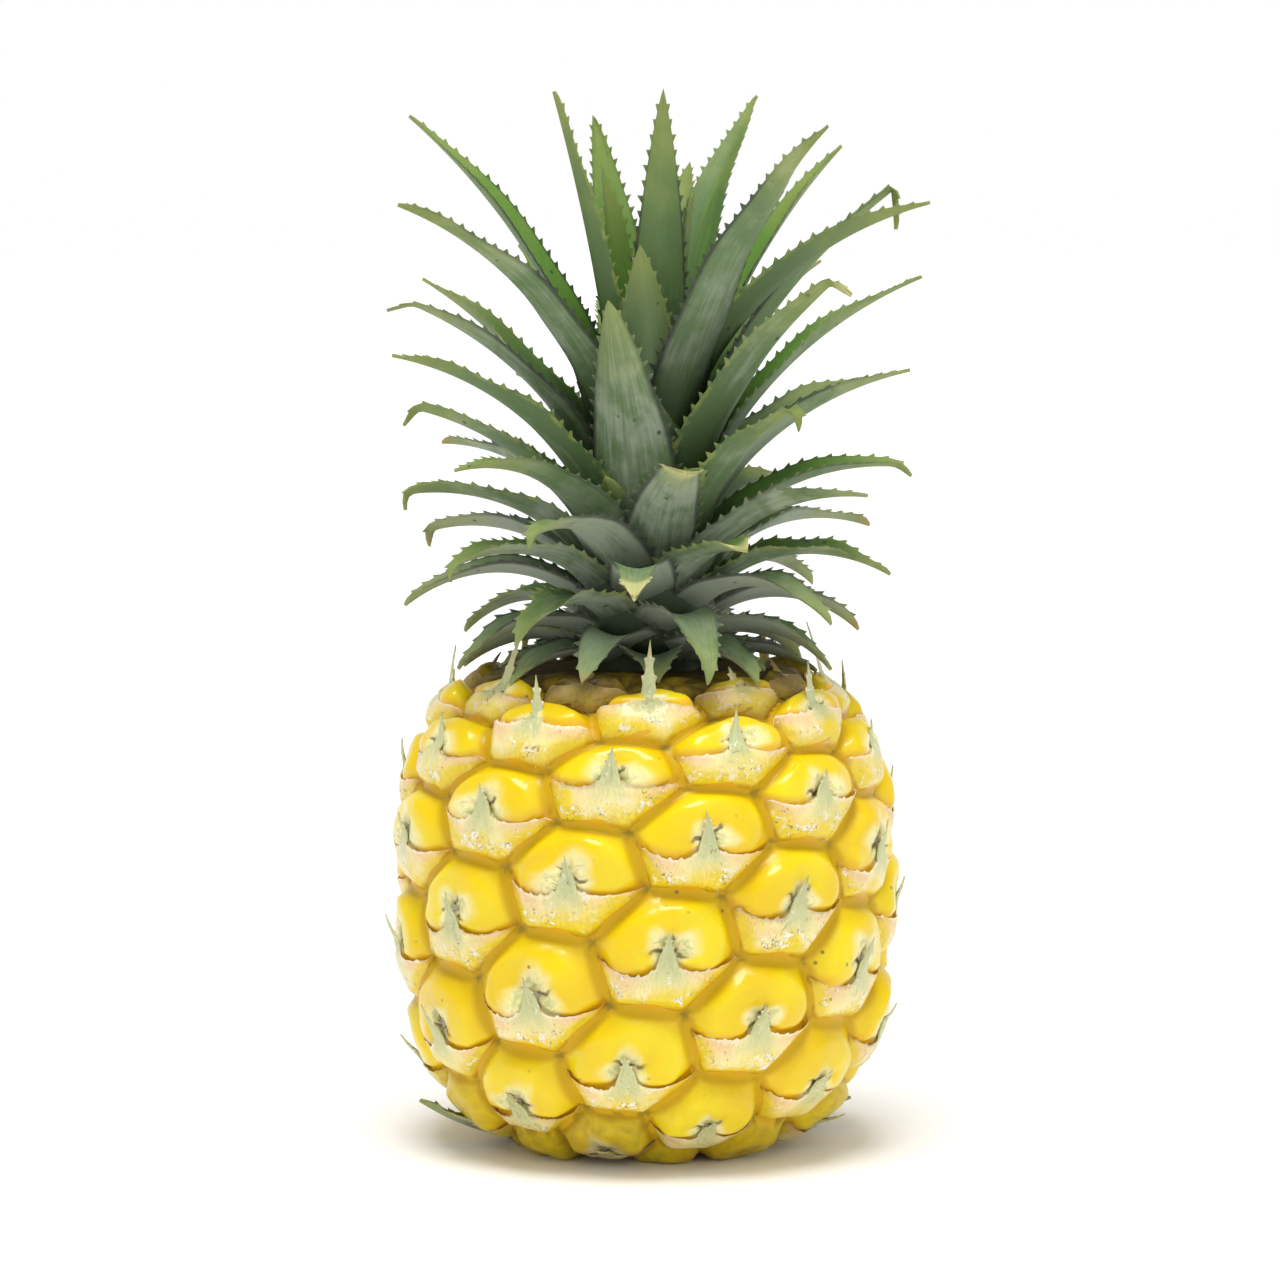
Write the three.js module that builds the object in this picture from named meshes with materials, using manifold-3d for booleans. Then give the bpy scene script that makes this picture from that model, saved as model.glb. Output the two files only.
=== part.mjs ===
// A small ripe pineapple with its crown, standing on its base.
// Millimetres, +Z up. The origin is the middle of the cut stalk, on the surface that the fruit stands on.
// Azimuth 0 faces -Y and grows towards +X.
// The fruit's eyes and the crown's leaves follow one spiral: each is about 137.5 degrees on from the last.
import * as THREE from "three";
import { mergeVertices } from "three/addons/utils/BufferGeometryUtils.js";
import Module from "manifold-3d";

const wasm = await Module();
wasm.setup();

// Driving dimensions of the fruit.
const FRUIT_RADIUS = 47.2; // at its widest, on the crests of the eyes
const FRUIT_WIDEST = 47.5; // height of the widest place
const FRUIT_ABOVE = 45; // from the widest place to the top
const FRUIT_BELOW = 50; // from the widest place to where the base would close, below the flat
const ROUND_ABOVE = 3.4; // superellipse exponents: a larger one is squarer
const ROUND_BELOW = 2.8;
const PROFILE_STEPS = 1200;

// The spiral of the eyes. Heights are steps along the conformal height of the profile.
const EYE_TURN = 137.76;
const EYE_FIRST_AZIMUTH = 4.9;
const EYE_FIRST_HEIGHT = -0.088;
const EYE_STEP = 0.0359;
const EYE_STEP_LOSS = 0.000166;
const EYE_STEADY_FROM = 40; // from here up, the step stays as it is
const LOWEST_EYE = -37;
const HIGHEST_EYE = 56;
const PLAIN_BELOW = -27; // eyes under the base and under the crown have fewer facets
const PLAIN_ABOVE = 44;
const EYE_HEIGHT = 22; // of a full-size eye, which the relief below is drawn for
const ROW_SPAN = 13; // steps of the spiral from an eye to the one above it
const SCALE_STEP = 0.034; // the step that sets an eye's size at the widest place
const SCALE_STEP_LOSS = 0.008; // and how it shrinks with conformal height
const SCALE_STEP_RANGE = [0.024, 0.046];
const GROOVE_DEPTH = 2.8;
const CORNER_DEPTH = 3.6;
const TIP_ROOT_LIFT = 1.2;
// How far a bract's point reaches beyond the eye's middle, low on the fruit and on its shoulder.
const TIP_REACH = [3.6, 9.5];
const TIP_LEAN = [0.3, 0.75]; // how far it stands off, as a share of its reach
const TIP_GROWS = [0.6, 0.95]; // conformal heights between which it lengthens
const TIP_SHRINKS = [0.98, 1.1]; // and between which it shortens again, under the crown
const END_DEPTH = 1.5; // how far the points that close the skin lie inside the base and the top

// Sockets in the fruit, and the gap that each filling piece keeps.
const GAP = 0.3;
const STALK_RADIUS = 9;
const STALK_DEPTH = 9;
const STALK_BEVEL = 0.8;
const NECK_RADIUS = 10.6;
const NECK_DEPTH = 6;
const TURNED_SIDES = 24;

// The crown.
const LOWEST_LEAF = -6;
const HIGHEST_LEAF = 69;
const LEAF_TURN = 137.5;
const LEAF_FIRST_AZIMUTH = -48;
const CROWN_LEAN = 0.02; // sideways drift of the crown for each millimetre of height
const SHEATH = 0.16; // share of a leaf that runs straight before it bends
const BEND = 0.75; // how early the bend comes
const TOOTH_HEIGHT = 1.2;
const TOOTH_PITCH = 7;
const TOOTH_PEAK = 0.82; // how far along its own length a tooth is highest
const TOOTH_RISE = 0.6; // how far its point stands up, as a share of its height
const LEAF_SEGMENTS = 5;
const CHANNEL = 0.16; // depth of a leaf's channel as a share of its width
const KEEL_LOSS = 0.6; // share of its thickness that a blade loses towards its tip
const PATH_STEPS = 96; // short runs that a blade's path is added up from
const HALVINGS = 40; // of the range in which its end angle is sought
const END_ANGLES = [-170, 130];
const LEAF_THICKNESS = 1.5;
const SMALLEST_DETAIL = 0.03; // slivers left where leaves cross are merged below this
// The stem: radius, and height above the fruit's shoulder.
const STEM_PROFILE = [
  [0, -NECK_DEPTH],
  [NECK_RADIUS, -NECK_DEPTH],
  [NECK_RADIUS, 0.6],
  [14, 4],
  [14, 16],
  [12.5, 26],
  [10, 36],
  [6.5, 47],
  [0, 53],
];
const STEM_SIDES = 16;
// leaf number, root radius, root height, root angle, tip reach, tip height, width
const LEAF_STAGES = [
  [-6, 6, 92.5, 16, 27, 92, 12],
  [0, 6, 91.2, 28, 34, 90, 12.5],
  [8, 6, 92.4, 46, 38, 92, 13],
  [16, 6, 94, 62, 46, 103, 13.5],
  [24, 6, 95.5, 70, 47, 115.5, 14.5],
  [33, 6, 98, 75, 51, 129, 15],
  [41, 6, 102, 78, 50, 148, 15],
  [50, 5.5, 108, 80, 51, 164, 14.5],
  [57, 5, 114, 82, 51, 191, 14],
  [62, 4, 118, 84, 24, 197, 14],
  [66, 3, 121, 86, 9, 188, 13.5],
  [69, 1.5, 123, 88, 3, 166, 9],
];
// The leaves that stray from the smooth run: leaf number to tip reach, tip height, sideways drift, width.
const STRAY_TIPS = new Map([
  [5, [36.5, 91.2, -2]],
  [10, [41, 91.5]],
  [13, [41.5, 98]],
  [23, [40, 115]],
  [26, [48, 118.5, -4.5]],
  [28, [46, 125]],
  [29, [50, 124.5]],
  [31, [46, 131]],
  [32, [51.5, 132.5]],
  [34, [52, 130.5]],
  [36, [43, 143]],
  [37, [48.5, 141]],
  [38, [51, 145]],
  [39, [26, 161, -3.5, 19]],
  [42, [53.5, 151]],
  [44, [26, 130]],
  [45, [49, 164.5]],
  [46, [54, 165]],
  [47, [16, 128]],
  [49, [45, 167.5]],
  [50, [50, 162]],
  [52, [14, 171, -3, 19]],
  [53, [37, 171]],
  [54, [51.3, 186.5]],
  [55, [60, 178.5]],
  [57, [54, 192.5]],
  [58, [48, 195.5]],
  [59, [41, 190]],
  [60, [8, 168]],
  [62, [55, 179]],
  [63, [20, 199.5]],
  [64, [42, 200]],
  [65, [5, 200]],
  [66, [12, 186]],
]);

// Long toothed bracts that spread from under the fruit: azimuth, tip reach, tip height.
const BASAL_BRACTS = [
  [-78, 43.5, 9.5],
  [108, 42, 6],
  [162, 40, 7],
  [-140, 41, 6],
];
const BASAL_ROOT_RADIUS = 20;
const BASAL_ROOT_HEIGHT = 2.4;
const BASAL_WIDTH = 6.5;
const BASAL_RISE = 2;
const BASAL_THICKNESS = 1.2;

const radians = THREE.MathUtils.degToRad;
const mix = THREE.MathUtils.lerp;

// Solids and geometries.
function solidOf(geometry) {
  const bare = geometry.index ? geometry.toNonIndexed() : geometry.clone();
  bare.deleteAttribute("normal");
  bare.deleteAttribute("uv");
  const merged = mergeVertices(bare, 1e-4);
  return new wasm.Manifold(
    new wasm.Mesh({
      numProp: 3,
      vertProperties: merged.attributes.position.array,
      triVerts: new Uint32Array(merged.index.array),
    }),
  );
}

function geometryOf(solid) {
  const mesh = solid.getMesh();
  const geometry = new THREE.BufferGeometry();
  geometry.setAttribute("position", new THREE.BufferAttribute(mesh.vertProperties, 3));
  geometry.setIndex(new THREE.BufferAttribute(mesh.triVerts, 1));
  geometry.computeVertexNormals();
  return geometry;
}

function geometryFrom(points, triangles) {
  const geometry = new THREE.BufferGeometry().setFromPoints(points);
  geometry.setIndex(triangles);
  return geometry;
}

// One body from many, without the slivers and the sealed hollows that crossing blades leave.
function fused(solids) {
  const bodies = wasm.Manifold.union(solids).simplify(SMALLEST_DETAIL).decompose();
  bodies.sort((a, b) => b.volume() - a.volume());
  return bodies[0];
}

function lathed(profile, sides) {
  const turned = new THREE.LatheGeometry(
    profile.map(([r, z]) => new THREE.Vector2(r, z)),
    sides,
  );
  return turned.rotateX(Math.PI / 2);
}

// The fruit's smooth profile, from the middle of the base to the middle of the top.
// Each row is [conformal height, radius, height]: equal steps of the first look alike at any radius.
function fruitProfile() {
  const rows = [];
  let conformal = 0;
  for (let i = 0; i <= PROFILE_STEPS; i++) {
    const turn = ((i / PROFILE_STEPS) * 2 - 1) * (Math.PI / 2);
    const above = turn > 0;
    const power = 2 / (above ? ROUND_ABOVE : ROUND_BELOW);
    const half = above ? FRUIT_ABOVE : FRUIT_BELOW;
    const radius = FRUIT_RADIUS * Math.pow(Math.abs(Math.cos(turn)), power);
    const rise = half * Math.sign(turn) * Math.pow(Math.abs(Math.sin(turn)), power);
    const height = FRUIT_WIDEST + rise;
    if (i > 0) {
      const [, lastRadius, lastHeight] = rows[i - 1];
      const run = Math.hypot(radius - lastRadius, height - lastHeight);
      conformal += run / Math.max((radius + lastRadius) / 2, 1e-3);
    }
    rows.push([conformal, radius, height]);
  }
  const middle = rows[PROFILE_STEPS / 2][0];
  return rows.map(([c, r, z]) => [c - middle, r, z]);
}

const profile = fruitProfile();

// The place on the profile at a conformal height, with its outward direction in the (radius, height) plane.
function profileAt(conformal) {
  let low = 0;
  let high = profile.length - 1;
  while (high - low > 1) {
    const middle = (low + high) >> 1;
    if (profile[middle][0] > conformal) high = middle;
    else low = middle;
  }
  const [c0, r0, z0] = profile[low];
  const [c1, r1, z1] = profile[high];
  const share = THREE.MathUtils.clamp((conformal - c0) / (c1 - c0), 0, 1);
  const run = Math.hypot(r1 - r0, z1 - z0);
  return {
    radius: mix(r0, r1, share),
    height: mix(z0, z1, share),
    outR: (z1 - z0) / run,
    outZ: (r0 - r1) / run,
  };
}

// A point of the fruit's skin, raised by lift along the outward direction and never below the surface.
function skinPoint(azimuth, conformal, lift) {
  const at = profileAt(conformal);
  const radius = at.radius + at.outR * lift;
  const height = Math.max(at.height + at.outZ * lift, 0);
  const a = radians(azimuth);
  return new THREE.Vector3(radius * Math.sin(a), -radius * Math.cos(a), height);
}

function eyeHeight(eye) {
  const steady = Math.min(eye, EYE_STEADY_FROM);
  const slope = EYE_STEP - 2 * EYE_STEP_LOSS * EYE_STEADY_FROM;
  const curved = EYE_STEP * steady - EYE_STEP_LOSS * steady * steady;
  return EYE_FIRST_HEIGHT + curved + slope * Math.max(eye - EYE_STEADY_FROM, 0);
}

// The centre of a neighbour, as azimuth and conformal height, without a jump of a full turn.
function neighbourOf(eye, step) {
  const own = EYE_FIRST_AZIMUTH - eye * EYE_TURN;
  const turn = -step * EYE_TURN;
  return [own + turn - 360 * Math.round(turn / 360), eyeHeight(eye + step)];
}

// How large an eye is at a conformal height, against a full-size one.
function eyeScale(conformal) {
  const step = THREE.MathUtils.clamp(SCALE_STEP - SCALE_STEP_LOSS * conformal, ...SCALE_STEP_RANGE);
  return Math.min(1, (profileAt(conformal).radius * step * ROW_SPAN) / EYE_HEIGHT);
}

// The six neighbours in the order of their directions, from the right and up, round to the left.
const AROUND = [5, 13, 8, -5, -13, -8];

// Twelve points round an eye: a corner where three eyes meet, then the middle of the next side.
function eyeOutline(eye) {
  const centre = neighbourOf(eye, 0);
  const corners = AROUND.map((step, i) => {
    const a = neighbourOf(eye, step);
    const b = neighbourOf(eye, AROUND[(i + 1) % AROUND.length]);
    return [(centre[0] + a[0] + b[0]) / 3, (centre[1] + a[1] + b[1]) / 3];
  });
  return corners.flatMap((corner, i) => {
    const next = corners[(i + 1) % corners.length];
    const side = [(corner[0] + next[0]) / 2, (corner[1] + next[1]) / 2];
    return [
      { at: corner, depth: CORNER_DEPTH },
      { at: side, depth: GROOVE_DEPTH },
    ];
  });
}

// Rings of an eye, from its groove inwards, for each of the twelve directions: [share of the way out, lift].
// Above is the swollen, shiny part. Below, the bract rises to a free edge and steps down to the swelling.
const SWELLING = { outer: [0.78, -0.1], inner: [0.42, 0.9] };
const FLANK = { outer: [0.78, -0.1], inner: [0.48, 0.4] };
const BRACT = { outer: [0.62, 0.7], inner: [0.46, -0.5] };
const RELIEF = [
  SWELLING, SWELLING, SWELLING, SWELLING, FLANK, BRACT,
  BRACT, BRACT, BRACT, BRACT, FLANK, SWELLING,
];
const TIP_FROM = 6; // the bract's free edge runs up into a point between these two directions
const TIP_TO = 8;
const EYE_MIDDLE_RISE = 0.04; // the sunken middle sits above the cell's centre
const EYE_MIDDLE_LIFT = -0.7;

// The point of an eye's bract: it lies over the eye's middle, and stands upright on the shoulder.
function bractPoint(azimuth, conformal) {
  const at = profileAt(conformal);
  const a = radians(azimuth);
  const out = new THREE.Vector3(Math.sin(a) * at.outR, -Math.cos(a) * at.outR, at.outZ);
  const east = new THREE.Vector3(Math.cos(a), Math.sin(a), 0);
  const north = new THREE.Vector3().crossVectors(out, east);
  const under = THREE.MathUtils.smoothstep(conformal, ...TIP_SHRINKS);
  const high = THREE.MathUtils.smoothstep(conformal, ...TIP_GROWS) * (1 - under);
  const reach = mix(TIP_REACH[0], TIP_REACH[1], high);
  const lean = mix(TIP_LEAN[0], TIP_LEAN[1], high);
  return skinPoint(azimuth, conformal, TIP_ROOT_LIFT)
    .addScaledVector(north, reach)
    .addScaledVector(out, reach * lean);
}

// The facets between an eye's free bract edge and the ledge behind it, with the point that overhangs.
function flapTriangles(outer, inner, tip, triangles) {
  for (let i = TIP_FROM; i < TIP_TO; i++) {
    triangles.push(outer + i, outer + i + 1, tip);
    triangles.push(inner + i + 1, inner + i, tip);
  }
  triangles.push(inner + TIP_FROM, outer + TIP_FROM, tip);
  triangles.push(outer + TIP_TO, inner + TIP_TO, tip);
}

function eyeTriangles(eye, points, triangles) {
  const [azimuth, conformal] = neighbourOf(eye, 0);
  const scale = eyeScale(conformal);
  const plain = eye < PLAIN_BELOW || eye > PLAIN_ABOVE;
  const outline = eyeOutline(eye);
  const inward = (at, share, lift) =>
    skinPoint(
      mix(azimuth, at[0], share),
      mix(conformal + EYE_MIDDLE_RISE * scale, at[1], share),
      lift * scale,
    );
  const rings = [outline.map(({ at, depth }) => skinPoint(...at, -depth * eyeScale(at[1])))];
  rings.push(outline.map(({ at }, i) => inward(at, ...RELIEF[i].outer)));
  if (!plain) rings.push(outline.map(({ at }, i) => inward(at, ...RELIEF[i].inner)));
  const first = points.length;
  const count = outline.length;
  rings.forEach((ring) => points.push(...ring));
  for (let ring = 0; ring + 1 < rings.length; ring++) {
    for (let i = 0; i < count; i++) {
      const flap = ring === 1 && i >= TIP_FROM && i < TIP_TO;
      if (flap) continue;
      const a = first + ring * count + i;
      const b = first + ring * count + ((i + 1) % count);
      triangles.push(a, b, b + count, a, b + count, a + count);
    }
  }
  if (!plain) {
    const tip = points.push(bractPoint(azimuth, conformal)) - 1;
    flapTriangles(first + count, first + 2 * count, tip, triangles);
  }
  const middle = points.push(inward([azimuth, conformal], 0, EYE_MIDDLE_LIFT)) - 1;
  const last = first + (rings.length - 1) * count;
  for (let i = 0; i < count; i++) {
    triangles.push(last + i, last + ((i + 1) % count), middle);
  }
}

// Closes each open edge of the skin with a fan to a point on the axis.
function closeEnds(skin, ends) {
  const merged = mergeVertices(skin, 1e-3);
  const index = Array.from(merged.index.array);
  const position = merged.attributes.position;
  const points = [];
  for (let i = 0; i < position.count; i++) {
    points.push(new THREE.Vector3().fromBufferAttribute(position, i));
  }
  const edges = new Set();
  for (let i = 0; i < index.length; i += 3) {
    for (let k = 0; k < 3; k++) edges.add(`${index[i + k]} ${index[i + ((k + 1) % 3)]}`);
  }
  const middle = (points[0].z + FRUIT_WIDEST) / 2;
  const poles = ends.map((height) => points.push(new THREE.Vector3(0, 0, height)) - 1);
  for (const edge of edges) {
    const [a, b] = edge.split(" ").map(Number);
    if (edges.has(`${b} ${a}`)) continue;
    index.push(b, a, points[a].z < middle ? poles[0] : poles[1]);
  }
  return geometryFrom(points, index);
}

// A leaf's path in its own upright plane: it leaves at one angle and bends steadily to another.
function leafHeading(rise, fall, share) {
  const bent = Math.max((share - SHEATH) / (1 - SHEATH), 0);
  return rise - (rise - fall) * Math.pow(bent, BEND);
}

// The end angle and the length that bring the tip to its reach and height.
function leafCurve(rise, across, up) {
  const wanted = Math.atan2(up, across);
  const run = (fall) => {
    let [x, z] = [0, 0];
    for (let i = 0; i < PATH_STEPS; i++) {
      const heading = radians(leafHeading(rise, fall, (i + 0.5) / PATH_STEPS));
      x += Math.cos(heading) / PATH_STEPS;
      z += Math.sin(heading) / PATH_STEPS;
    }
    return [x, z];
  };
  let [low, high] = END_ANGLES;
  for (let i = 0; i < HALVINGS; i++) {
    const middle = (low + high) / 2;
    const [x, z] = run(middle);
    if (Math.atan2(z, x) > wanted) high = middle;
    else low = middle;
  }
  const [x, z] = run(low);
  return { fall: low, length: Math.hypot(across, up) / Math.hypot(x, z) };
}

// A leaf's width along it, as a share of its width at the root.
function leafWidth(share) {
  return Math.pow(1 - Math.pow(share, 2.1), 0.85);
}

// A strip of triangles between two lines of points that share the same run, each given as [share, index].
function zip(a, b, triangles, turned) {
  let [i, k] = [0, 0];
  while (i + 1 < a.length || k + 1 < b.length) {
    const stepA = k + 1 >= b.length || (i + 1 < a.length && a[i + 1][0] <= b[k + 1][0]);
    const next = stepA ? a[i + 1][1] : b[k + 1][1];
    const [p, q] = [a[i][1], b[k][1]];
    if (next !== p && next !== q) triangles.push(...(turned ? [q, p, next] : [p, q, next]));
    if (stepA) i++;
    else k++;
  }
}

// One toothed, channelled blade with a keel: thick along its middle and thin at its margins.
function blade({ azimuth, rootRadius, rootHeight, rise, reach, tipHeight, drift = 0, width, thickness }) {
  const { fall, length } = leafCurve(rise, reach - rootRadius, tipHeight - rootHeight);
  const a = radians(azimuth);
  const side = new THREE.Vector3(Math.cos(a), Math.sin(a), 0);
  const line = [{ r: rootRadius, z: rootHeight }];
  for (let i = 0; i < PATH_STEPS; i++) {
    const heading = radians(leafHeading(rise, fall, (i + 0.5) / PATH_STEPS));
    const last = line[i];
    line.push({
      r: last.r + (Math.cos(heading) * length) / PATH_STEPS,
      z: last.z + (Math.sin(heading) * length) / PATH_STEPS,
    });
  }
  const place = (share, across, up) => {
    const along = share * PATH_STEPS;
    const i = Math.min(Math.floor(along), PATH_STEPS - 1);
    const r = mix(line[i].r, line[i + 1].r, along - i);
    const z = mix(line[i].z, line[i + 1].z, along - i);
    const heading = radians(leafHeading(rise, fall, share));
    const point = new THREE.Vector3(Math.sin(a) * r, -Math.cos(a) * r, z);
    point.x += CROWN_LEAN * Math.max(z - FRUIT_WIDEST - FRUIT_ABOVE, 0);
    const back = -Math.sin(heading) * up;
    point.add(new THREE.Vector3(Math.sin(a) * back, -Math.cos(a) * back, Math.cos(heading) * up));
    return point.addScaledVector(side, across + drift * share * share);
  };
  const teeth = Math.max(3, Math.round((length * (1 - SHEATH)) / TOOTH_PITCH));
  const points = [];
  const marginLine = (sign) => {
    const shares = [[0, 0]];
    for (let i = 0; i < teeth; i++) {
      const start = SHEATH + ((1 - SHEATH) * i) / teeth;
      const end = SHEATH + ((1 - SHEATH) * (i + 1)) / teeth;
      shares.push([start, 0]);
      if (i + 1 < teeth) shares.push([mix(start, end, TOOTH_PEAK), TOOTH_HEIGHT]);
    }
    return shares.map(([share, tooth]) => {
      const half = (width / 2) * leafWidth(share);
      const across = sign * (half + tooth);
      const up = half * 2 * CHANNEL + tooth * TOOTH_RISE;
      return [share, points.push(place(share, across, up)) - 1];
    });
  };
  const middleLine = (drop) => {
    const found = [];
    for (let i = 0; i < LEAF_SEGMENTS; i++) {
      const share = i / LEAF_SEGMENTS;
      found.push([share, points.push(place(share, 0, -drop * (1 - share * KEEL_LOSS))) - 1]);
    }
    return found;
  };
  const left = marginLine(-1);
  const right = marginLine(1);
  const top = middleLine(0);
  const keel = middleLine(thickness);
  const tip = points.push(place(1, 0, 0)) - 1;
  [left, right, top, keel].forEach((found) => found.push([1, tip]));
  const triangles = [];
  zip(left, top, triangles, true);
  zip(top, right, triangles, true);
  zip(right, keel, triangles, true);
  zip(keel, left, triangles, true);
  const [l, t, r, k] = [left[0][1], top[0][1], right[0][1], keel[0][1]];
  triangles.push(l, t, r, l, r, k);
  return geometryFrom(points, triangles);
}

// The values of a leaf, read off the stages.
function leafValues(leaf) {
  const next = LEAF_STAGES.findIndex((stage) => stage[0] >= leaf);
  const [b, a] = [LEAF_STAGES[next], LEAF_STAGES[Math.max(next - 1, 0)]];
  const share = b === a ? 0 : (leaf - a[0]) / (b[0] - a[0]);
  const [, rootRadius, rootHeight, rise, reach, tipHeight, width] = a.map((v, i) => mix(v, b[i], share));
  const [ownReach, ownHeight, drift, ownWidth] = STRAY_TIPS.get(leaf) ?? [reach, tipHeight];
  const own = { reach: ownReach, tipHeight: ownHeight, drift, width: ownWidth ?? width };
  return { rootRadius, rootHeight, rise, ...own };
}

// The sub-parts.
function fruit() {
  const points = [];
  const triangles = [];
  for (let eye = LOWEST_EYE; eye <= HIGHEST_EYE; eye++) eyeTriangles(eye, points, triangles);
  const top = FRUIT_WIDEST + FRUIT_ABOVE;
  const skin = solidOf(closeEnds(geometryFrom(points, triangles), [END_DEPTH, top - END_DEPTH]));
  const pieces = [skin];
  for (const [azimuth, reach, tipHeight] of BASAL_BRACTS) {
    const shape = {
      azimuth,
      rootRadius: BASAL_ROOT_RADIUS,
      rootHeight: BASAL_ROOT_HEIGHT,
      rise: BASAL_RISE,
      reach,
      tipHeight,
      width: BASAL_WIDTH,
      thickness: BASAL_THICKNESS,
    };
    pieces.push(solidOf(blade(shape)));
  }
  const stalkHole = lathed(
    [[0, -5], [STALK_RADIUS + GAP, -5], [STALK_RADIUS + GAP, STALK_DEPTH + GAP], [0, STALK_DEPTH + GAP]],
    TURNED_SIDES,
  );
  const neckFloor = top - NECK_DEPTH - GAP;
  const neckHole = lathed(
    [[0, neckFloor], [NECK_RADIUS + GAP, neckFloor], [NECK_RADIUS + GAP, top + 5], [0, top + 5]],
    TURNED_SIDES,
  );
  return geometryOf(fused(pieces).subtract(solidOf(stalkHole)).subtract(solidOf(neckHole)));
}

function stalk() {
  return lathed(
    [
      [0, 0],
      [STALK_RADIUS - STALK_BEVEL, 0],
      [STALK_RADIUS, STALK_BEVEL],
      [STALK_RADIUS, STALK_DEPTH],
      [0, STALK_DEPTH],
    ],
    TURNED_SIDES,
  );
}

function crown() {
  const base = FRUIT_WIDEST + FRUIT_ABOVE;
  const stem = lathed(
    STEM_PROFILE.map(([radius, height]) => [radius, base + height]),
    STEM_SIDES,
  );
  const pieces = [solidOf(stem)];
  for (let leaf = LOWEST_LEAF; leaf <= HIGHEST_LEAF; leaf++) {
    const azimuth = LEAF_FIRST_AZIMUTH - LEAF_TURN * leaf;
    pieces.push(solidOf(blade({ ...leafValues(leaf), azimuth, thickness: LEAF_THICKNESS })));
  }
  return geometryOf(fused(pieces));
}

function material(color, roughness) {
  return new THREE.MeshStandardMaterial({ color, roughness, metalness: 0 });
}

const pineapple = new THREE.Group();
const parts = [
  ["fruit", fruit(), material(0xe8b818, 0.35)],
  ["stalk", stalk(), material(0xcdb98a, 0.8)],
  ["crown", crown(), material(0x6f8a55, 0.5)],
];
for (const [name, geometry, finish] of parts) {
  const mesh = new THREE.Mesh(geometry, finish);
  mesh.name = name;
  pineapple.add(mesh);
}

export default pineapple;
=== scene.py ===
"""Dresses a small ripe pineapple: a rind of domed eyes with papery bracts under a crown of spiny leaves.

Places are worked out in millimetres and stored in metres, +Z up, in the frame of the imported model.
Azimuth 0 faces -Y and grows towards +X. The eyes and the leaves follow one spiral, as on the solids.
"""

from __future__ import annotations

import logging
import math
from contextlib import contextmanager
from dataclasses import dataclass, field
from enum import Enum
from typing import Any, Callable, Iterator, Sequence

import bmesh
import bpy
import numpy as np
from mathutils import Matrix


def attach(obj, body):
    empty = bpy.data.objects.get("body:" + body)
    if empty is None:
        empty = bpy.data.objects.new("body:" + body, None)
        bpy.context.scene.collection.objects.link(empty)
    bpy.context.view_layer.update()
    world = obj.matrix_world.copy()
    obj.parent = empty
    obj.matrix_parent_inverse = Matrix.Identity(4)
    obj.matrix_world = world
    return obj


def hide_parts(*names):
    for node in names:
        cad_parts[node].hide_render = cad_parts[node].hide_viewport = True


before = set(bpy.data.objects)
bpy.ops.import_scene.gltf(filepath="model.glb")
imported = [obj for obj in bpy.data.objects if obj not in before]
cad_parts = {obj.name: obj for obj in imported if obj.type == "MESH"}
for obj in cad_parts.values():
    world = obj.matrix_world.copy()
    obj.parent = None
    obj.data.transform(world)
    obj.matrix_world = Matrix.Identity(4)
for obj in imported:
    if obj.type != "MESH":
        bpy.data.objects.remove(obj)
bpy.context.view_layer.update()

MM = 0.001
# Vertices closer than this, in metres, are one where two eyes meet.
WELD = 0.00002
# Edges of leaves sharper than this, in degrees, stay sharp.
LEAF_SHARP = 55
# Keeps places away from the middle between two steps, where rounding could go either way.
OFF_STEP = 0.137
# Above this height, in millimetres, the crown leans towards +X by this share.
LEAN_FROM, LEAN = 92.5, 0.02
LOG = logging.getLogger("pineapple")
Colour = tuple[float, float, float]


class Slot(Enum):
    """The record's material slots."""

    FRUIT = "fruit"
    STALK = "stalk"
    LEAF = "leaf"


class Side(Enum):
    """A face or margin of a blade, as the sign of its direction."""

    LEFT = -1
    RIGHT = 1


class Seed(Enum):
    """Where each kind of random draw starts, so that every run gives the same fruit."""

    EYE = 9000
    LEAF = 7000
    BRACT = 5000
    FLOWER = 3000
    DRYNESS = 900
    TINT = 100


# Small sums.


def draws(seed: Seed, number: int) -> np.random.Generator:
    """The random draws of one eye or leaf."""
    return np.random.default_rng(seed.value + number)


def smooth(value: np.ndarray | float, low: float, high: float) -> np.ndarray:
    """Eases from 0 at low to 1 at high.

    Args:
        value: The numbers to ease.
        low: Where the result leaves 0. It may be above high, which turns the ease round.
        high: Where the result reaches 1.

    Returns:
        Numbers from 0 to 1.
    """
    share = np.clip((np.asarray(value, dtype=float) - low) / (high - low), 0.0, 1.0)
    return share * share * (3.0 - 2.0 * share)


def mix(low: Any, high: Any, share: Any) -> Any:
    """Goes from low at a share of 0 to high at a share of 1."""
    return low + (high - low) * share


def bump_at(distance: np.ndarray, width: float) -> np.ndarray:
    """A soft bump of height 1 at a distance of 0."""
    return np.exp(-((distance / width) ** 2))


# Modelling by hand, in edit mode.


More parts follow.
